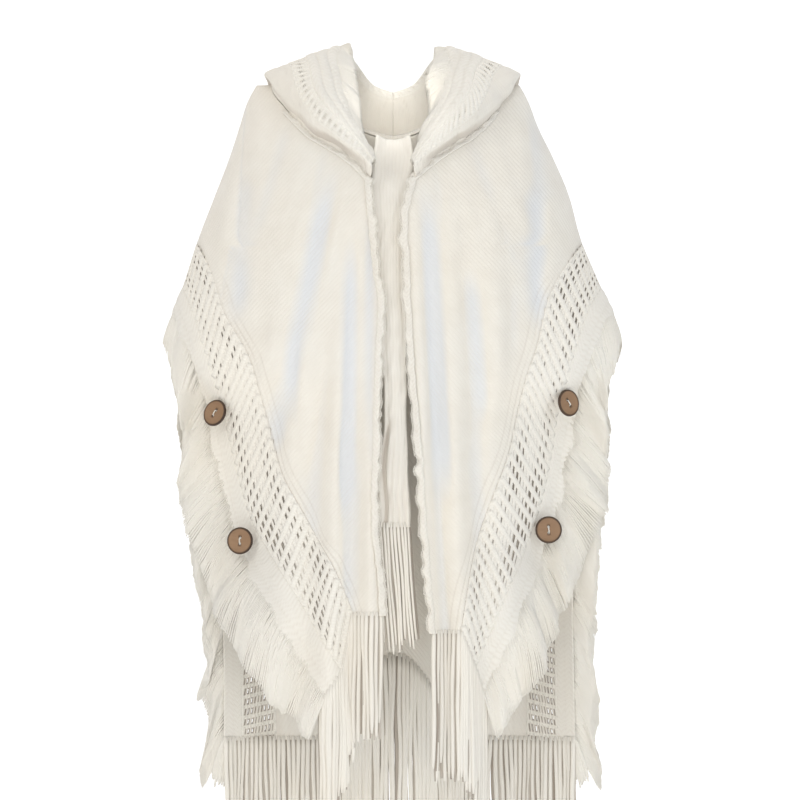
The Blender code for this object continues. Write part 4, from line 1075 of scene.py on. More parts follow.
def openwork(name, strip, seed, slant, pitch=16.5, bar=9.9, ties=TIES_WIDE, tie=0.97, under=1.7, below=1.0, calm=2.0):
    """Knitted openwork: flat cords across the strip, joined by slanting ties that leave pairs of small slots."""
    rng = np.random.default_rng(seed)
    count = max(3, int(round(strip.length / pitch)))
    pitch = strip.length / count
    reach = max(abs(slant) * 1.6, 1e-3)

    def slide(a, b):
        fade = np.clip(np.minimum(a, 1 - a) * strip.length / reach, 0, 1)
        return a + slant / strip.length * (b - 0.5) * fade

    parts = []
    b = np.linspace(0.0, 1.0, 15)[None]
    centre = ((np.arange(count) + 0.5) / count)[:, None]
    wobble = rng.normal(0, 0.35, (count, 1)) / strip.length
    a = slide(centre + wobble, b)
    crown = 0.35 * np.abs(np.sin(b * 27 + centre * 60))
    paths = strip.at(a, b, 0.15 + crown)
    ups = strip.normal(a, b)
    wide = bar * (0.97 + 0.06 * np.sin(b * 54 + centre * 40)) * min(1, pitch / 16.5 if bar > 8 else 1)
    points, quads, uv = tubes(paths, ups, wide, 3.4, 8)
    shade = np.array([0.2, 0, 0, 0.2, 1.5, 0.9 * below, 0.9 * below, 1.5]) * under
    seen = np.where(centre[:, 0] > calm, 0.12, 1.0)
    parts.append((points, quads, uv, np.tile(shade, len(points) // 8) * np.repeat(seen, len(points) // count)))
    lines, widths, tints, seen = [], [], [], []
    step = np.linspace(0, 1, 5)
    lean = 0.026 if slant >= 0 else -0.026
    for i in range(-1, count):
        a0, a1 = (i + 0.5) / count, (i + 1.5) / count
        tight = 1 + 0.10 * uneven(seed + 1, np.array([i * pitch]), 60, 200)[0]
        for middle, wide_mm in ties:
            place = middle / 66 + rng.normal(0, 0.005)
            bb = place + lean * (step - 0.5) * 2
            aa = slide(np.clip(a0 + (a1 - a0) * step, 0, 1), bb)
            lines.append((aa, bb))
            size = tie * wide_mm * tight * rng.uniform(0.94, 1.08) * strip.width_at(np.clip(a0, 0, 1)) / 66
            widths.append(size * (1 + 0.30 * np.abs(2 * step - 1) ** 3))
            tints.append(rng.uniform(0, 0.10))
            seen.append(0.12 if a0 > calm else 1.0)
    aa = np.array([line[0] for line in lines])
    bb = np.array([line[1] for line in lines])
    points, quads, uv = tubes(strip.at(aa, bb, 0.0), strip.normal(aa, bb), np.array(widths), 2.8, 6)
    shade = np.array([0.15, 0, 0.15, 1.4, 0.9 * below, 1.4]) * under
    parts.append((points, quads, uv, np.repeat(tints, 5 * 6) + np.tile(shade, len(points) // 6) * np.repeat(seen, 5 * 6)))
    a = np.linspace(0, 1, max(40, int(strip.length / 4)))[None]
    for place, wide_mm in ((0.012, 3.4), (0.985, 4.5)):
        points, quads, uv = tubes(strip.at(a, place, 0.1), strip.normal(a, place), wide_mm, 3.0, 8)
        parts.append((points, quads, uv, 0.05))
    points, quads, uv, tint = join(parts)
    return put_mesh(name, points, quads, MATERIALS["yarn"], uv, tint)


def braid(name, strip, seed, columns=2, pitch=7.0, thick=2.0, high=1.5, start=0.012, end=1.0):
    """Dense braid: plaits side by side, each a chevron of crossing strands."""
    rows = max(40, int(strip.length / 1.95))
    across = 8 * columns + 1
    a = np.linspace(0, 1, rows)[:, None] * np.ones((1, across))
    b = start + (end - start) * np.linspace(0, 1, across)[None] * np.ones((rows, 1))
    grid, normals = strip.at(a, b), strip.normal(a, b)
    s = a * strip.length
    cell = np.clip(np.linspace(0, 1, across)[None] * columns * np.ones((rows, 1)), 0, columns - 1e-6)
    number = np.floor(cell)
    v = np.abs(cell - number - 0.5) * 2
    wander = 0.35 * uneven(seed, s, 30, 90)
    phase = s / pitch + 0.95 * v * np.where(number % 2 == 0, 1, -1) + wander + number * 0.5
    strand = np.abs(np.sin(math.pi * phase))
    crown = np.sqrt(np.clip(1 - v**2.4, 0, 1))
    big = 0.75 + 0.35 * uneven(seed + 3, s + 40 * number, 40, 110)
    relief = high * crown * (0.35 + 0.65 * strand**0.6) * big
    # Painted shade: darker between the crossing strands and towards each plait's sides.
    tint = np.clip(1.15 - strand**0.5 - 0.2 * crown, 0, 1) * 0.8
    uv = np.stack([s, b * strip.width_at(a)], -1) * MM
    return shell(name, grid, normals, thick, MATERIALS["braid"], uv, relief, tint)


def last_tip(strip, tips):
    """Where the fringe ends beside the last row of its strip."""
    return 0.55 * tips[-1] + 0.45 * strip.grid[-1, -1]


def feather(name, strip, tips, seed, spacing=2.6, layers=3, ruffle=9.0, sway=7.0, thick=3.1, roots=(0.55, 1.0), fall=16.0, keep_side=None, shades=0.07, hang=0.0):
    """Brushed cut yarn that leaves the braid side by side, in layers that wave together, so that its edge is a
    soft curve. tips has a point for each row of the strip's grid; fall is how far the ends hang along the strip."""
    rng = np.random.default_rng(seed)
    per_layer = int(strip.length / spacing)
    layer = np.repeat(np.arange(layers), per_layer)
    count = len(layer)
    a = (np.tile(np.arange(per_layer), layers) + 0.5 + 0.33 * layer + rng.normal(0, 0.10, count)) / per_layer
    a = np.clip(a, 0.002, 0.998)
    s = a * strip.length
    root_b = roots[0] + (roots[1] - roots[0]) * (1 - (layer + rng.uniform(0.2, 0.8, count)) / layers)
    root = strip.at(a, root_b, 1.6 - 0.7 * layer)
    edge = strip.at(a, 1.0, 1.4 - 0.9 * layer)
    normal = strip.normal(a, 1.0)
    ends = np.clip(np.minimum(a, 1 - a) * strip.length / 30, 0, 1)
    clump = 2.2 * uneven(seed + 3, s + 9.0 * layer, 20, 50, 4)
    ahead = np.clip(a * strip.length / 30, 0, 1) if fall > 0 else ends
    a2 = a + (fall * ahead + clump * ends) / strip.length
    tip = np.stack([np.interp(a2, strip.share, tips[:, i]) for i in range(3)], -1)
    last = tips[-1] - tips[-8]
    tip = tip + (np.maximum(a2 - 1, 0) * strip.length)[:, None] * last / np.linalg.norm(last)
    out = tip - edge
    way = np.gradient(strip.grid[:, -1], axis=0)
    way /= np.maximum(np.linalg.norm(way, axis=-1, keepdims=True), 1e-9)
    along = np.stack([np.interp(a, strip.share, way[:, i]) for i in range(3)], -1)
    length = (1.0 - 0.05 * layer + 0.03 * uneven(seed + 4, s, 18, 50) + rng.normal(0, 0.008, count))[:, None]
    wave = (ruffle * uneven(seed + 1, s + 6.0 * layer, 55, 130) * ends)[:, None]
    drift = (sway * uneven(seed + 2, s, 70, 180) * ends)[:, None]
    tip = edge + out * length + normal * (wave * 0.9 - 1.2 * layer[:, None]) + along * drift
    control = edge + out * 0.42 + normal * (3.2 + 0.75 * wave - 1.1 * layer[:, None]) - along * 0.25 * fall * ends[:, None]
    t = np.linspace(0, 1, 6)[None, :, None]
    paths = root[:, None] * (1 - t) ** 2 + 2 * t * (1 - t) * control[:, None] + tip[:, None] * t**2
    curl = 0.9 * uneven(seed + 6, s[:, None] + 40 * t[..., 0], 16, 50)[..., None] * t
    paths = paths + along[:, None] * curl + along[:, None] * rng.normal(0, 0.2, (count, 1, 1)) * t
    if keep_side is not None:
        axis, sign, least = keep_side
        paths[..., axis] = sign * np.maximum(paths[..., axis] * sign, least)
    if hang:
        # Strands of the last stitches hang beside the hem, so that the corner ends blunt.
        extra = 54
        b = np.tile(np.linspace(0.45, 1.0, extra // 2), 2)
        top = strip.at(np.full(extra, 0.99), b, np.repeat([0.4, -0.6], extra // 2))
        share = (b - 0.45) / 0.55
        foot = top + (last_tip(strip, tips) - top) * (share**0.8)[:, None]
        foot[:, 2] = tips[-1, 2] - hang * (0.5 + 0.5 * np.sin(3.0 * share)) + rng.normal(0, 5, extra)
        middle = top + (foot - top) * 0.5 + np.stack([0.16 * (foot - top)[:, 0], 0 * share, 0 * share], -1)
        more = top[:, None] * (1 - t) ** 2 + 2 * t * (1 - t) * middle[:, None] + foot[:, None] * t**2
        paths = np.concatenate([paths, more])
        normal = np.concatenate([normal, strip.normal(np.full(extra, 0.99), b)])
        layer = np.concatenate([layer, np.zeros(extra, int)])
        clump = np.concatenate([clump, np.zeros(extra)])
        count += extra
    taper = np.array([0.8, 1.05, 1.15, 1.2, 1.15, 0.75])[None]
    points, quads, uv = tubes(paths, normal[:, None], thick * taper, thick * taper * 0.62, 4)
    # Each strand gets a random tone; the rearmost layer is darkened as painted shade under the layers in front, and
    # strands where the clump is negative are a little darker.
    tint = np.repeat(rng.uniform(0, shades, count) + 0.05 * (layer == layers - 1) + 0.06 * np.clip(-clump / 2, 0, 1), 6 * 4)
    return put_mesh(name, points, quads, MATERIALS["feather"], uv, tint)


def strings(name, tops, tips, seed, wide=6.4, spread=2.0, layers=2, apart=1.10, edge=0.5):
    """Long hem strings side by side, flattened, from points along a hem: tops (n, 3), and the height of each tip."""
    rng = np.random.default_rng(seed)
    run = run_of(tops)
    parts = []
    for layer in range(layers):
        count = max(2, int(round(run[-1] / (wide * apart))))
        at_run = (np.arange(count) + 0.5 + 0.5 * layer) / count * run[-1]
        at_run = np.clip(at_run + rng.normal(0, 0.05 * wide, count), 0.2 * wide, run[-1] - 0.2 * wide)
        top = np.stack([np.interp(at_run, run, tops[:, i]) for i in range(3)], -1)
        low = np.interp(at_run, run, tips) + rng.normal(0, 7, count)
        low = np.maximum(low, np.interp(at_run, run, tips) - 8)
        t = np.linspace(0, 1, 15)[None, :]
        z = top[:, 2, None] + 5 + (low - top[:, 2] - 5)[:, None] * t
        drop = top[:, 2, None] - z
        loose = np.clip(drop / 70, 0, 1)
        x = top[:, 0, None] + spread * uneven(seed + 5, at_run[:, None] * 1.3 + drop * 0.22, 40, 120) * loose
        x = x + 0.16 * wide * rng.normal(0, 1, (count, 1)) * np.clip(drop / 130, 0, 1.3)
        bend = np.sin(drop / rng.uniform(22, 42, (count, 1)) + rng.uniform(0, 6, (count, 1)))
        x = x + 0.11 * wide * bend * loose
        y = top[:, 1, None] + (-0.9 + 2.6 * layer) + rng.normal(0, 0.6, (count, 1)) * loose
        y = y + 1.4 * uneven(seed + 9, at_run[:, None] + drop * 0.4, 40, 120) * loose
        paths = np.stack([x, y, z], -1)
        taper = np.ones((1, 15))
        taper[0, :2] = (0.85, 1.0)
        taper[0, -3:] = (0.95, 0.85, 0.5)
        size = wide * taper * rng.uniform(0.88, 1.06, (count, 1))
        size = size * (1 + 0.05 * np.sin(drop / rng.uniform(7, 12, (count, 1)) + rng.uniform(0, 6, (count, 1))))
        points, quads, uv = tubes(paths, np.array([0, -1.0, 0]), size, np.minimum(size, 4.6) * 0.86, 8)
        # The front layer gets a random tone. Painted shade: the rear layer is dark brown on its front face so that the
        # gaps between the front strings read as shadow, and the front layer's sides are darkened by edge.
        tint = rng.uniform(0, 0.14, count) if layer == 0 else rng.uniform(0.85, 1.25, count)
        if layer == 0:
            shade = np.repeat(tint, 15 * 8) + np.tile(np.array([1, 0, 0, 1, 1.6, 0, 0, 1.6]) * edge, len(points) // 8)
        else:
            shade = np.repeat(tint, 15 * 8) * np.tile([1, 1, 1, 1, 0.4, 0, 0, 0.4], len(points) // 8)
        parts.append((points, quads, uv, shade))
    points, quads, uv, tint = join(parts)
    return put_mesh(name, points, quads, MATERIALS["string"], uv, tint)


def make_border(face, side, seed):
    weave, plait = border_strip(face, side, "p", "q"), border_strip(face, side, "q", "r")
    slant = 19.0 if face == "front" else 8.0
    dense = {} if face == "front" else {"pitch": 14.5, "bar": 11.0, "tie": 1.36, "under": 0.95, "below": 0.1}
    lattice = openwork(f"{face}_lattice_{side}", weave, seed, slant, **dense)
    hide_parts(f"{face}_openwork_{side}")
    band = braid(f"{face}_plait_{side}", plait, seed + 10)
    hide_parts(f"{face}_braid_{side}")
    k = np.linspace(0, 12, 260)
    x, z = border_point(face, side, "f", k)
    root_x, root_z = border_point(face, side, "r", k)
    rows = BORDERS[face, side]
    y = cloth_y(face, root_x, root_z) + smooth(rows["k"], rows["f_y"], k)
    y = np.minimum(y, -2.5) if face == "front" else np.maximum(y, 2.5)
    trim = feather(
        f"{face}_feather_{side}", plait, np.stack([x, y, z], -1), seed + 20, fall=16.0 if face == "front" else 30.0,
        keep_side=(1, -1 if face == "front" else 1, 0.6), hang=0.0 if face == "front" else 16.0,
    )
    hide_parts(f"{face}_fringe_{side}")
    return [lattice, band, trim], weave, plait


# ---------------------------------------------------------------- hood


def fine_hood(side, front, neck):
    """The hood's half as a fine grid (s, run), its normals, and the columns where openwork and braid start."""
    sign = SIGN[side]
    below = front[:, 0][front[:, 0, 2] >= -80.5][::-1]
    middle = len(neck) // 2
    seam = neck[1 : middle + 1] if side == "left" else neck[middle:-1][::-1]
    base = np.concatenate([below, seam[1:]])
    run = run_of(base)
    corner = run[len(below) - 1]
    place = np.where(run <= corner, 0.54 * run / corner, 0.54 + 0.46 * (run - corner) / (run[-1] - corner))
    stations = np.linspace(0, 1, 110)
    base = np.stack([np.interp(stations, place, base[:, i]) for i in range(3)], -1)
    grid, bounds = [], []
    for s, root in zip(stations, base):
        behind = min(max((s - 0.54) / 0.1, 0), 1)
        away = cloth_normal("back" if behind else "front", root[:1], root[2:])[0] * np.array([1, 1, 0])
        first = root + np.array([0, 0, STAND])
        second = first + np.array([0, 0, 4.5]) + away / max(np.linalg.norm(away), 0.1) * 5.5 * behind
        curve, index = catmull([first, second] + [guide(rows, s, sign) for rows in HOOD], 24)
        index = index - 1
        run = run_of(curve)
        fold = np.interp(2, index, run)
        share = float(np.interp(s, (0.50, 0.78), (1, 0.435)))
        trim = min((OPENWORK_WIDTH + BRAID_WIDTH) * share, 0.55 * run[-1])
        opening = max(run[-1] - trim, fold + 3)
        plait = run[-1] - (run[-1] - opening) * BRAID_WIDTH / (OPENWORK_WIDTH + BRAID_WIDTH)
        want = np.concatenate(
            [np.linspace(0, opening, 60)[:-1], np.linspace(opening, plait, 16)[:-1], np.linspace(plait, run[-1], 20)]
        )
        row = np.stack([np.interp(want, run, curve[:, i]) for i in range(3)], -1)
        row[:, 0] = sign * np.maximum(np.abs(row[:, 0]), SEAM / 2)
        grid.append(row)
    grid = np.array(grid)
    grid[-1, :, 0] = sign * SEAM / 2
    # Each row is eased a little along the hood, so that its folds are soft.
    for _ in range(3):
        grid[1:-1] = 0.25 * grid[:-2] + 0.5 * grid[1:-1] + 0.25 * grid[2:]
    normals = grid_normals(grid)
    if side == "left":
        normals = normals
    return grid, normals, stations, 59, 74


def make_hood(side, front, neck, seed):
    sign = SIGN[side]
    grid, normals, stations, opening, plait = fine_hood(side, front, neck)
    # Outwards is away from the hollow between the hood's layers: up at the crest.
    crest = normals[60, opening]
    if crest[2] < 0:
        normals = -normals
    normals[-1, :, 0] = 0
    normals /= np.maximum(np.linalg.norm(normals, axis=-1, keepdims=True), 1e-9)
    cloth = grid[:, : opening + 1]
    cloth_n = normals[:, : opening + 1]
    s_run = run_of(grid[:, opening // 2])[:, None] * np.ones((1, opening + 1))
    step = np.linalg.norm(np.diff(cloth, axis=1), axis=-1)
    u = np.concatenate([np.zeros((len(cloth), 1)), np.cumsum(step, axis=1)], 1)
    small = 0.9 * uneven(seed, s_run + 0.3 * u, 18, 60) + 1.2 * uneven(seed + 1, s_run - 0.5 * u, 50, 130)
    # Fine gathers drawn towards the openwork's seam.
    draw = np.exp(-(((u[:, -1:] - u) / 16) ** 2))
    small = small + 1.3 * draw * uneven(seed + 2, s_run - 0.35 * u, 6, 13, 6)
    wide_draw = np.exp(-(((u[:, -1:] - u) / 34) ** 2))
    marks = np.clip(uneven(seed + 7, s_run - 0.45 * u, 5, 12, 6) - 0.75, 0, 1) * wide_draw
    marks = marks + 0.35 * np.clip(uneven(seed + 8, s_run + 0.25 * u, 9, 24, 6) - 0.9, 0, 1)
    edge = np.clip(np.minimum(u, u[:, -1:] - u) / 14, 0, 1) * np.clip(np.minimum(s_run, s_run[-1:] - s_run) / 12, 0, 1)
    cloth = cloth + cloth_n * (small * edge)[..., None]
    seam = np.clip((s_run[-1:] - s_run), 0, 60)
    relief = -0.8 * np.exp(-(((seam - 1.5) / 1.0) ** 2)) + 0.7 * np.exp(-(((seam - 4.5) / 2.0) ** 2)) - 0.6 * np.exp(-(((seam - 8.0) / 1.0) ** 2))
    uv = np.stack([u, s_run], -1) * MM
    # The turn above the shoulders faces down and lies in its own shadow.
    under = np.clip((-cloth_n[..., 2] - 0.35) / 0.3, 0, 1) * (s_run < 0.62 * s_run[-1:]) * (cloth_n[..., 1] < 0.5)
    # Painted shade by the tint: the centre-back seam's groove, the gather marks and the turn above the shoulders.
    tint = np.clip(np.clip(-relief, 0, 1) + 0.5 * marks + 0.9 * under, 0, 1)
    body = shell(f"hood_cloth_{side}", cloth, cloth_n, 2.0, MATERIALS["rib"], uv, relief - 0.5 * marks, tint)
    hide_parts(f"hood_{side}")
    weave = Strip(grid[:, opening : plait + 1], normals[:, opening : plait + 1])
    band = Strip(grid[:, plait:], normals[:, plait:])
    lattice = openwork(f"hood_lattice_{side}", weave, seed + 3, 10.0 * sign, 10.8, 6.6, TIES_HOOD, 1.0 if sign > 0 else 1.05, 1.1 if sign > 0 else 0.7, 0.0, 0.70)
    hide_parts(f"hood_openwork_{side}")
    plaited = braid(f"hood_plait_{side}", band, seed + 4, columns=3, pitch=8.0, high=3.8)
    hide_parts(f"hood_braid_{side}")
    tips = np.array([guide(HOOD_TIPS, s, sign) for s in stations])
    trim = feather(
        f"hood_feather_{side}", band, tips, seed + 5, spacing=2.4, ruffle=6.0, sway=7.0, thick=3.0, fall=-9.0,
        shades=0.22,
        keep_side=(0, sign, 0.5),
    )
    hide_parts(f"hood_fringe_{side}")
    return body, [lattice, plaited, trim]


# ---------------------------------------------------------------- edging, centre band, strings, buttons


def make_edging(side, grid, normals, seed):
    """Narrow crochet trim along the neckline and the centre front, with a wavy free edge."""
    sign = SIGN[side]
    start = 9
    step = np.linalg.norm(np.diff(grid, axis=1), axis=-1)
    arc = np.concatenate([np.zeros((len(grid), 1)), np.cumsum(step, axis=1)], 1)
    rows = []
    across = np.linspace(0, 1, 13)
    for i in range(start, len(grid)):
        reach = np.linspace(0.3, EDGING, 13)
        rows.append(np.stack([np.interp(reach, arc[i], grid[i, :, axis]) for axis in range(3)], -1))
    edge = np.array(rows)
    count = int(run_of(edge[:, 0])[-1] / 1.9)
    run = run_of(edge[:, 6])
    want = np.linspace(0, run[-1], count)
    edge = np.stack([[np.interp(want, run, edge[:, j, axis]) for j in range(13)] for axis in range(3)], -1)
    edge = np.transpose(edge, (1, 0, 2))
    lift_n = np.stack([[np.interp(want, run, normals[start:, 2, axis]) for axis in range(3)]], 0)[0].T
    lift_n /= np.linalg.norm(lift_n, axis=-1, keepdims=True)
    s = want[:, None] * np.ones((1, 13))
    inwards = edge[:, 0] - edge[:, -1]
    inwards /= np.linalg.norm(inwards, axis=-1, keepdims=True)
    wave = 1.8 * uneven(seed, s, 34, 120) + 1.3 * uneven(seed + 1, s, 12, 34)
    free = np.linspace(1, 0, 13)[None]
    edge = edge + inwards[:, None] * (wave * (0.35 + 0.65 * free) + 1.0)[..., None]
    frill = 1.2 * uneven(seed + 2, s, 14, 40) * free
    edge = edge + lift_n[:, None] * (3.0 + frill)[..., None]
    phase = s / 6.2 + 0.8 * np.abs(across[None] * 2 - 1) + 0.4 * uneven(seed + 3, s, 30, 80)
    strand = np.abs(np.sin(math.pi * phase))
    crown = np.sqrt(np.clip(1 - np.abs(across * 2 - 1) ** 3, 0, 1))[None]
    relief = 1.5 * crown * (0.3 + 0.7 * strand**0.7)
    # Painted shade: darker between the strands.
    tint = np.clip(1.1 - strand**0.5, 0, 1) * 0.8
    n = np.repeat(lift_n[:, None], 13, axis=1)
    uv = np.stack([s, across[None] * EDGING * np.ones_like(s)], -1) * MM
    obj = shell(f"edging_{side}", edge, n, 1.8, MATERIALS["braid"], uv, relief, tint)
    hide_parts(f"front_edging_{side}")
    # Small loops along the free edge.
    rng = np.random.default_rng(seed + 7)
    picks = np.arange(2, count - 2, 2)
    base, n0 = edge[picks, 0], lift_n[picks]
    way = edge[picks + 1, 0] - edge[picks - 1, 0]
    way /= np.linalg.norm(way, axis=-1, keepdims=True)
    turn = np.linspace(-0.25, 1.25, 7) * math.pi
    size = rng.uniform(1.3, 2.3, len(picks))[:, None]
    paths = (
        base[:, None]
        + inwards[picks][:, None] * (size * (0.5 + np.sin(turn)[None]))[..., None]
        + way[:, None] * (1.5 * np.cos(turn)[None] * np.ones_like(size))[..., None]
        + n0[:, None] * (0.4 + rng.uniform(-0.6, 0.9, (len(picks), 1)))[..., None]
    )
    points, quads, uv2 = tubes(paths, n0[:, None], 1.3, 1.3, 6)
    loops = put_mesh(
        f"edging_loops_{side}", points, quads, MATERIALS["yarn"], uv2, np.repeat(rng.uniform(0, 0.2, len(picks)), 42)
    )
    return obj, loops


def band_rows(heights, columns):
    cross = np.linspace(-1, 1, columns)
    grid = []
    for z in heights:
        half = float(at(CENTRE_BAND, "half", z)) + 4.0 * math.exp(-(((z + 52) / 24) ** 2))
        x = float(at(CENTRE_BAND, "x", z)) + cross * half
        bulge = float(at(CENTRE_BAND, "bulge", z)) * (1 - cross**2)
        reach = float(at(CENTRE_BAND, "half", z)) + 10
        y = float(cloth_y("front", np.linspace(-reach, reach, 21), z).max()) + BAND_BEHIND - bulge
        grid.append(np.stack([x, y, np.full(columns, float(z))], -1))
    return np.array(grid)


def make_band(seed):
    columns = 41
    heights = np.linspace(CENTRE_BAND["z"][0], CENTRE_BAND["z"][-1], 150)
    grid = band_rows(heights, columns)
    # The top edge follows the neck seam behind it: lower in the middle.
    top_share = np.clip((heights + 60) / 46, 0, 1)[:, None]
    grid[..., 2] -= 6.5 * top_share * (1 - np.linspace(-1, 1, columns)[None] ** 2)
    cross = np.linspace(-1, 1, columns)[None] * np.ones((150, 1))
    z = heights[:, None] * np.ones((1, columns))
    half = at(CENTRE_BAND, "half", heights)[:, None]
    x = cross * half
    # Rolled edges, long folds that deepen towards the strings, and a deep slit left of the middle.
    low = np.clip((-z - 380) / 120, 0, 1)
    ribs = np.sin(2 * math.pi * (x + 1.6 * uneven(seed, -z, 50, 160)) / (7.5 + 1.5 * low))
    relief = 0.7 * ribs * (0.15 + 0.85 * low) + 1.6 * np.clip((np.abs(cross) - 0.62) / 0.25, 0, 1)
    slit_x = -10.5 + 2.5 * uneven(seed + 1, -z, 90, 200)
    slit = np.exp(-(((x - slit_x) / 2.6) ** 2)) * np.clip((-z - 400) / 25, 0, 1)
    relief = relief - 4.5 * slit + 0.35 * uneven(seed + 2, -z + 3 * x, 30, 90)
    wave = 1.3 * uneven(seed + 3, -z, 60, 150)
    grid[..., 0] += wave
    normals = grid_normals(grid)
    if normals[75, 20, 1] > 0:
        normals = -normals
    edge = np.clip((1 - np.abs(cross)) / 0.1, 0, 1)
    uv = np.stack([-z, x], -1) * MM
    # Painted shade in the deep slit and in the troughs of the lower folds.
    tint = np.clip(slit * 1.3 + 0.25 * np.clip(-ribs, 0, 1) * low, 0, 1)
    band = shell("centre_roll", grid, normals, 2.0, MATERIALS["rib"], uv, relief * (0.3 + 0.7 * edge), tint)
    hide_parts("centre_band")
    top = grid[-1] + np.array([0, 0, 1.0])
    tops = spaced(top, np.linspace(0, 1, 12))
    lines = strings("centre_strings", tops, np.linspace(-728, -716, 12), seed + 5, 4.2, 1.0)
    # The strings swing a little towards the side at +X as they fall.
    co = np.empty(len(lines.data.vertices) * 3, np.float32)
    lines.data.vertices.foreach_get("co", co)
    co = co.reshape(-1, 3)
    drop = np.clip((-557 * MM - co[:, 2]) / 0.176, 0, 1.1)
    co[:, 0] += 0.013 * drop
    lines.data.vertices.foreach_set("co", co.ravel())
    lines.data.update()
    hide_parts("centre_band_strings")
    return band, lines


def front_hem(side, panel):
    """Points along one front's hem, from the inner edge over openwork and braid, and the string tips there."""
    sign = SIGN[side]
    lines = [spaced(panel[-1][3:], np.linspace(0, 1, 30))]
    for a, b in (("p", "q"), ("q", "r")):
        a_x, a_z = border_point("front", side, a, 12.0)
        b_x, b_z = border_point("front", side, b, 12.0)
        share = np.linspace(0, 1, 12)[1:]
        x, z = a_x + (b_x - a_x) * share, a_z + (b_z - a_z) * share
        lines.append(np.stack([x, cloth_y("front", x, z), z], -1))
    top = np.concatenate(lines)
    order = np.argsort(FRONT_TIPS["x"])
    return top, np.interp(top[:, 0], FRONT_TIPS["x"][order], FRONT_TIPS["z"][order])


def back_hem(panel):
    lines = []
    for side in SIDES:
        outer, middle = (border_point("back", side, letter, 12.0) for letter in ("r", "q"))
        share = np.linspace(0, 1, 10)
        x = outer[0] + (middle[0] - outer[0]) * share
        z = outer[1] + (middle[1] - outer[1]) * share
        part = np.stack([x, cloth_y("back", x, z), z], -1)
        lines.append(part if side == "left" else part[::-1])
    top = np.concatenate([lines[0], panel[-1], lines[1]])
    return top, np.interp(top[:, 0], BACK_TIPS["x"], BACK_TIPS["z"])


def lathe(profile, sides):
    """Points and quads of a turned disc from (radius, height) pairs, its middle closed by a small ring."""
    turn = np.arange(sides) * 2 * math.pi / sides
    points = np.array([[r * math.cos(t), r * math.sin(t), h] for r, h in profile for t in turn])
    index = np.arange(len(points)).reshape(len(profile), sides)
    nxt = np.roll(index, -1, axis=1)
    quads = np.stack([index[:-1], nxt[:-1], nxt[1:], index[1:]], -1).reshape(-1, 4)
    return points, quads


def button_place(number):
    """The middle of a button's underside, and the way it faces."""
    x, z = BUTTONS["x"][number], BUTTONS["z"][number]
    lean = np.array([BUTTONS[name][number] for name in ("lean_x", "lean_y", "lean_z")])
    lean /= np.linalg.norm(lean)
    root = np.array([x, z])
    for _ in range(5):
        y = float(cloth_y("front", *root))
        # It faces partly as the braid under it does, and clears the braid's highest point.
        turn = np.arange(16) * math.pi / 8
        ring = np.stack([np.cos(turn), np.sin(turn)], -1)
        near = np.concatenate([ring * reach for reach in (0, 8, 14, BUTTON_RADIUS + 0.5)]) + root
        near = np.stack([near[:, 0], cloth_y("front", near[:, 0], near[:, 1]), near[:, 1]], -1)
        normal = cloth_normal("front", near[:, 0], near[:, 2]).sum(0)
        normal = 0.4 * normal / np.linalg.norm(normal) + 0.6 * lean
        normal /= np.linalg.norm(normal)
        rise = float(((near - (root[0], y, root[1])) @ normal).max())
        away = rise + BORDER / 2 + SEAM + 2.6
        place = np.array([root[0], y, root[1]]) + normal * away
        middle = place + normal * BUTTON_THICK / 2
        root = root + (x - middle[0], z - middle[2])
    return place, normal


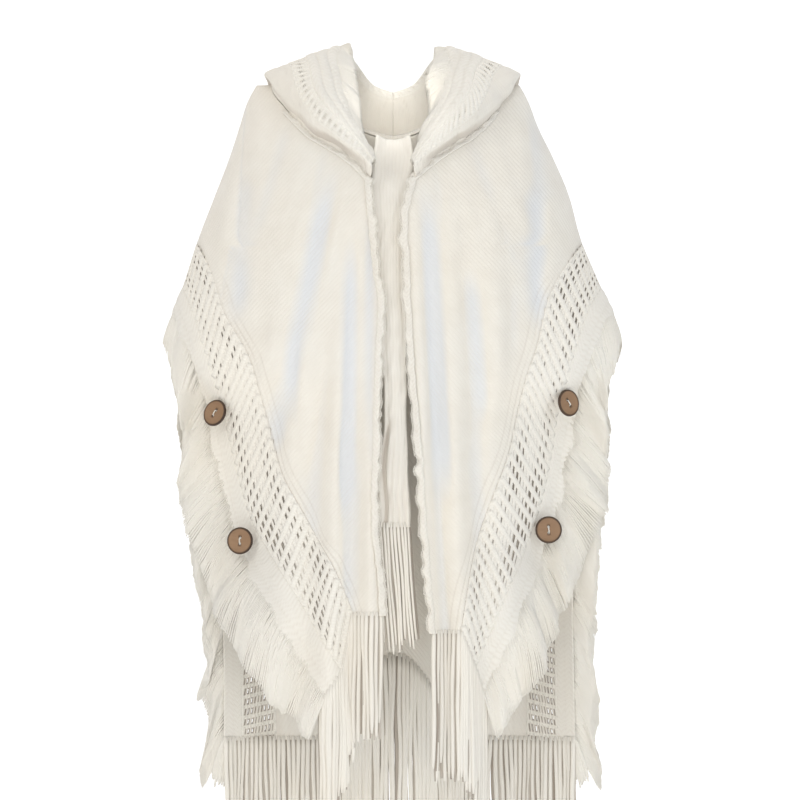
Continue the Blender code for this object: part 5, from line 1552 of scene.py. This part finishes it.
def make_button(number, name):
    place, normal = button_place(number)
    facing = Vector(normal).to_track_quat("Z", "Y").to_matrix().to_4x4()
    facing = facing @ Matrix.Rotation(math.radians(BUTTONS["turn"][number]), 4, "Z")
    place = Matrix.Translation(Vector(place) * MM) @ facing
    rim, top = BUTTON_RADIUS, BUTTON_THICK
    profile = (
        (0.01, 0.0), (6, 0.0), (rim - 2.5, 0.0), (rim - 1.0, 0.35), (rim - 0.25, 1.0), (rim, 1.9), (rim - 0.2, 2.9),
        (rim - 0.8, top - 0.35), (rim - 1.6, top), (rim - 2.4, top - 0.12), (rim - 3.3, top - 0.6),
        (rim - 4.6, top - 0.95), (9, top - 1.15), (5, top - 1.25), (2.5, top - 1.28), (0.01, top - 1.3),
    )
    points, quads = lathe(profile, 72)
    radius = np.hypot(points[:, 0], points[:, 1])
    tint = np.clip((radius - (rim - 2.2)) / 1.6, 0, 1) * 0.85
    mesh = bpy.data.meshes.new(name)
    mesh.from_pydata((points * MM).tolist(), [], [tuple(map(int, quad)) for quad in quads])
    mesh.validate()
    obj = bpy.data.objects.new(name, mesh)
    mesh.materials.append(MATERIALS["wood"])
    bpy.context.scene.collection.objects.link(obj)


    work = bmesh.new()
    work.from_mesh(mesh)
    bmesh.ops.remove_doubles(work, verts=work.verts, dist=0.05 * MM)
    bmesh.ops.recalc_face_normals(work, faces=work.faces)
    work.to_mesh(mesh)
    work.free()
    obj.matrix_world = place
    cutters = []
    for hole in (-1, 1):
        bpy.ops.mesh.primitive_cylinder_add(vertices=24, radius=HOLE_RADIUS * MM, depth=4 * BUTTON_THICK * MM)
        cutter = bpy.context.active_object
        cutter.matrix_world = place @ Matrix.Translation((hole * HOLE_APART / 2 * MM, 0, 0))
        cutters.append(cutter)
        cut = obj.modifiers.new("hole", "BOOLEAN")
        cut.operation = "DIFFERENCE"
        cut.solver = "EXACT"
        cut.object = cutter
    bpy.context.view_layer.update()
    graph = bpy.context.evaluated_depsgraph_get()
    final = bpy.data.meshes.new_from_object(obj.evaluated_get(graph))
    obj.modifiers.clear()
    obj.data = final
    for cutter in cutters:
        bpy.data.objects.remove(cutter, do_unlink=True)
    co = np.array([v.co for v in final.vertices]) / MM
    radius = np.hypot(co[:, 0], co[:, 1])
    hole = np.minimum(np.hypot(co[:, 0] - HOLE_APART / 2, co[:, 1]), np.hypot(co[:, 0] + HOLE_APART / 2, co[:, 1]))
    lower_side_shade = np.clip(-co[:, 1] / rim, 0, 1)
    # The tint is the dark rim all round, with painted shade added on its lower side and painted shade in the holes.
    tint = np.maximum(np.clip((radius - (rim - 3.4)) / 1.4, 0, 1) * (0.86 + 0.1 * lower_side_shade), np.clip((HOLE_RADIUS + 0.15 - hole) / 0.1, 0, 1) * 0.8)
    attribute = final.attributes.new("tint", "FLOAT", "POINT")
    attribute.data.foreach_set("value", tint.astype(np.float32))
    final.shade_smooth()
    final.set_sharp_from_angle(angle=math.radians(38))
    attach(obj, "root")
    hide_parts(name.replace("disc", "button"))
    # The pale thread: two strands from hole to hole, sunk a little into each.
    lines = []
    for j, off in enumerate((-0.45, 0.45)):
        t = np.linspace(-1, 1, 15)
        reach = HOLE_APART / 2 + 0.3
        height = top - 0.5 + 0.55 * (1 - t**2) ** 0.5 + 0.1 * j
        height = np.where(np.abs(t) > 0.93, top - 2.6, height)
        lines.append(np.stack([t * reach, off + 0.25 * np.sin(t * 3 + j), height], -1))
    points, quads, uv = tubes(np.array(lines), np.array([0, 0, 1.0]), 0.9, 0.8, 6)
    matrix = np.array(place)
    points = points * MM @ matrix[:3, :3].T + matrix[:3, 3]
    thread = put_mesh(name.replace("disc", "thread"), points / MM, quads, MATERIALS["yarn"], uv, np.zeros(len(points)))
    return obj, thread


# ---------------------------------------------------------------- the whole


def half_area(obj):
    """Half a closed shell's surface: the cloth's area, in square metres."""
    mesh = obj.data
    area = np.empty(len(mesh.polygons), np.float32)
    mesh.polygons.foreach_get("area", area)
    return float(area.sum()) / 2


def declare(obj, width, length):
    """Prints a sheet's cloth area beside its width by length: a cut that isn't a rectangle fills only a share of that.
    """
    area = half_area(obj)
    print(obj.name, "area", round(area, 4), "of", round(width * length, 4))


back, back_grid, neck = make_back()
trims = {}
pieces = {"back": [], "left": [], "right": []}
fronts, hoods = {}, {}
for side in SIDES:
    seed = 100 if side == "left" else 500
    fronts[side], front_grid, front_normals = make_front(side)
    borders, _, _ = make_border("front", side, seed)
    pieces[side] += borders
    borders, _, _ = make_border("back", side, seed + 50)
    pieces["back"] += borders
    pieces[side] += make_edging(side, front_grid, front_normals, seed + 70)
    tops, tips = front_hem(side, front_grid)
    lines = strings(f"front_strings_{side}", tops, tips, seed + 80)
    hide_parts(f"hem_strings_front_{side}")
    pieces[side].append(lines)
    hoods[side] = make_hood(side, front_grid, neck, seed + 90)
tops, tips = back_hem(back_grid)
lines = strings("back_strings", tops, tips, 900, edge=0.2)
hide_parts("hem_strings_back")
pieces["back"].append(lines)
band, band_strings = make_band(950)
buttons = {"left": [], "right": []}
for number, name in enumerate(("disc_left_upper", "disc_left_lower", "disc_right_upper", "disc_right_lower")):
    buttons["left" if number < 2 else "right"] += make_button(number, name)

declare(back, 0.66, 0.96)
for side in SIDES:
    declare(fronts[side], 0.40, 0.78)
    declare(hoods[side][0], 0.34, 0.50)
declare(band, 0.06, 0.47)

# ---------------------------------------------------------------- stage, light and camera


def plain(name, colour, roughness, glow):
    net = Net(name)
    soft = net.noise(3.0, 2.0, net.place())
    tone = net.mix(net.math("MULTIPLY", soft, 0.3), colour, tuple(c * 0.97 for c in colour[:3]) + (1,))
    net.wire(tone, net.shader.inputs["Base Color"])
    net.shader.inputs["Roughness"].default_value = roughness
    net.shader.inputs["Emission Color"].default_value = (1.0, 0.998, 0.985, 1)
    net.shader.inputs["Emission Strength"].default_value = glow
    return net.mat


def sweep():
    """Pale floor that goes far back and curves up into a backdrop, so that the garment can be seen all round."""
    floor = [(-6.0, -1.45), (-2.0, -1.45), (2.0, -1.45), (5.0, -1.45)]
    wall = [(5.0, -1.45), (9.0, -1.45), (12.4, -1.45)]
    for i in range(1, 13):
        turn = i / 12 * math.pi / 2
        wall.append((12.4 + 1.0 * math.sin(turn), -0.45 - 1.0 * math.cos(turn)))
    wall.append((13.4, 6.0))
    for name, profile, glow in (("studio_floor", floor, 0.25), ("studio_backdrop", wall, 0.56)):
        paper(name, profile, glow)


def paper(name, profile, glow):
    points = np.array([[x, y, z] for y, z in profile for x in np.linspace(-5, 5, 9)]) / MM
    index = np.arange(len(points)).reshape(len(profile), 9)
    quads = np.stack([index[:-1, :-1], index[:-1, 1:], index[1:, 1:], index[1:, :-1]], -1).reshape(-1, 4)
    mesh = bpy.data.meshes.new(name)
    mesh.from_pydata((points * MM).tolist(), [], [tuple(map(int, quad)) for quad in quads])
    mesh.shade_smooth()
    mesh.materials.append(plain(name, (0.96, 0.955, 0.94, 1), 0.9, glow))
    obj = bpy.data.objects.new(name, mesh)
    bpy.context.scene.collection.objects.link(obj)


def throat_light(place, target, power, angle):
    """A wide, feathered beam into the open neck."""
    light = bpy.data.lights.new("throat", "SPOT")
    light.energy, light.spot_size, light.spot_blend = power, angle, 1.0
    light.shadow_soft_size = 0.03
    light.color = (1.0, 0.985, 0.95)
    obj = bpy.data.objects.new("throat", light)
    obj.location = place
    obj.rotation_euler = (Vector(target) - Vector(place)).to_track_quat("-Z", "Y").to_euler()
    bpy.context.scene.collection.objects.link(obj)


def soft_light(name, place, target, size, power, colour):
    light = bpy.data.lights.new(name, "AREA")
    light.shape = "RECTANGLE"
    light.size, light.size_y = size
    light.energy = power
    light.color = colour
    obj = bpy.data.objects.new(name, light)
    obj.location = place
    obj.rotation_euler = (Vector(target) - Vector(place)).to_track_quat("-Z", "Y").to_euler()
    bpy.context.scene.collection.objects.link(obj)


sweep()
throat_light((0.01, -3.0, 0.10), (0.0, 0.14, 0.036), 270, math.radians(3.3))
soft_light("front", (-0.5, -4.2, 0.9), (0, 0, -0.40), (2.0, 2.0), 29, (1.0, 0.985, 0.955))
soft_light("key", (-3.0, -2.4, 1.5), (0, 0, -0.4), (1.4, 1.8), 22, (1.0, 0.955, 0.87))
soft_light("fill", (3.0, -2.4, 0.5), (0, 0, -0.45), (1.4, 1.8), 18, (0.82, 0.91, 1.0))
soft_light("low", (0.2, -3.6, -1.0), (0, 0.1, -0.05), (1.6, 0.8), 14, (1.0, 0.99, 0.97))
soft_light("top", (0.0, 0.2, 2.6), (0, 0, -0.3), (2.6, 2.0), 26, (1.0, 0.98, 0.95))
soft_light("back_left", (-1.8, 2.0, 0.8), (0, 0, -0.4), (1.2, 1.8), 10, (1.0, 0.98, 0.95))
soft_light("back_right", (1.8, 2.0, 0.8), (0, 0, -0.4), (1.2, 1.8), 10, (0.96, 0.98, 1.0))

world = bpy.data.worlds.new("studio_air")
bpy.context.scene.world = world
world.use_nodes = True
world.node_tree.nodes["Background"].inputs["Color"].default_value = (0.97, 0.975, 1.0, 1)
world.node_tree.nodes["Background"].inputs["Strength"].default_value = 0.48
bpy.context.scene.view_settings.view_transform = "Standard"
bpy.context.scene.view_settings.look = "None"
bpy.context.scene.view_settings.exposure = 0.0

DISTANCE = 10.0
camera = bpy.data.cameras.new("photo_camera")
camera.sensor_width = 36.0
camera.lens = 36.0 * DISTANCE / 1.12
camera.clip_end = 60
eye = bpy.data.objects.new("photo_camera", camera)
eye.location = (0.0098, -DISTANCE, -0.382)
eye.rotation_euler = (math.pi / 2, 0, 0)
bpy.context.scene.collection.objects.link(eye)
bpy.context.scene.camera = eye
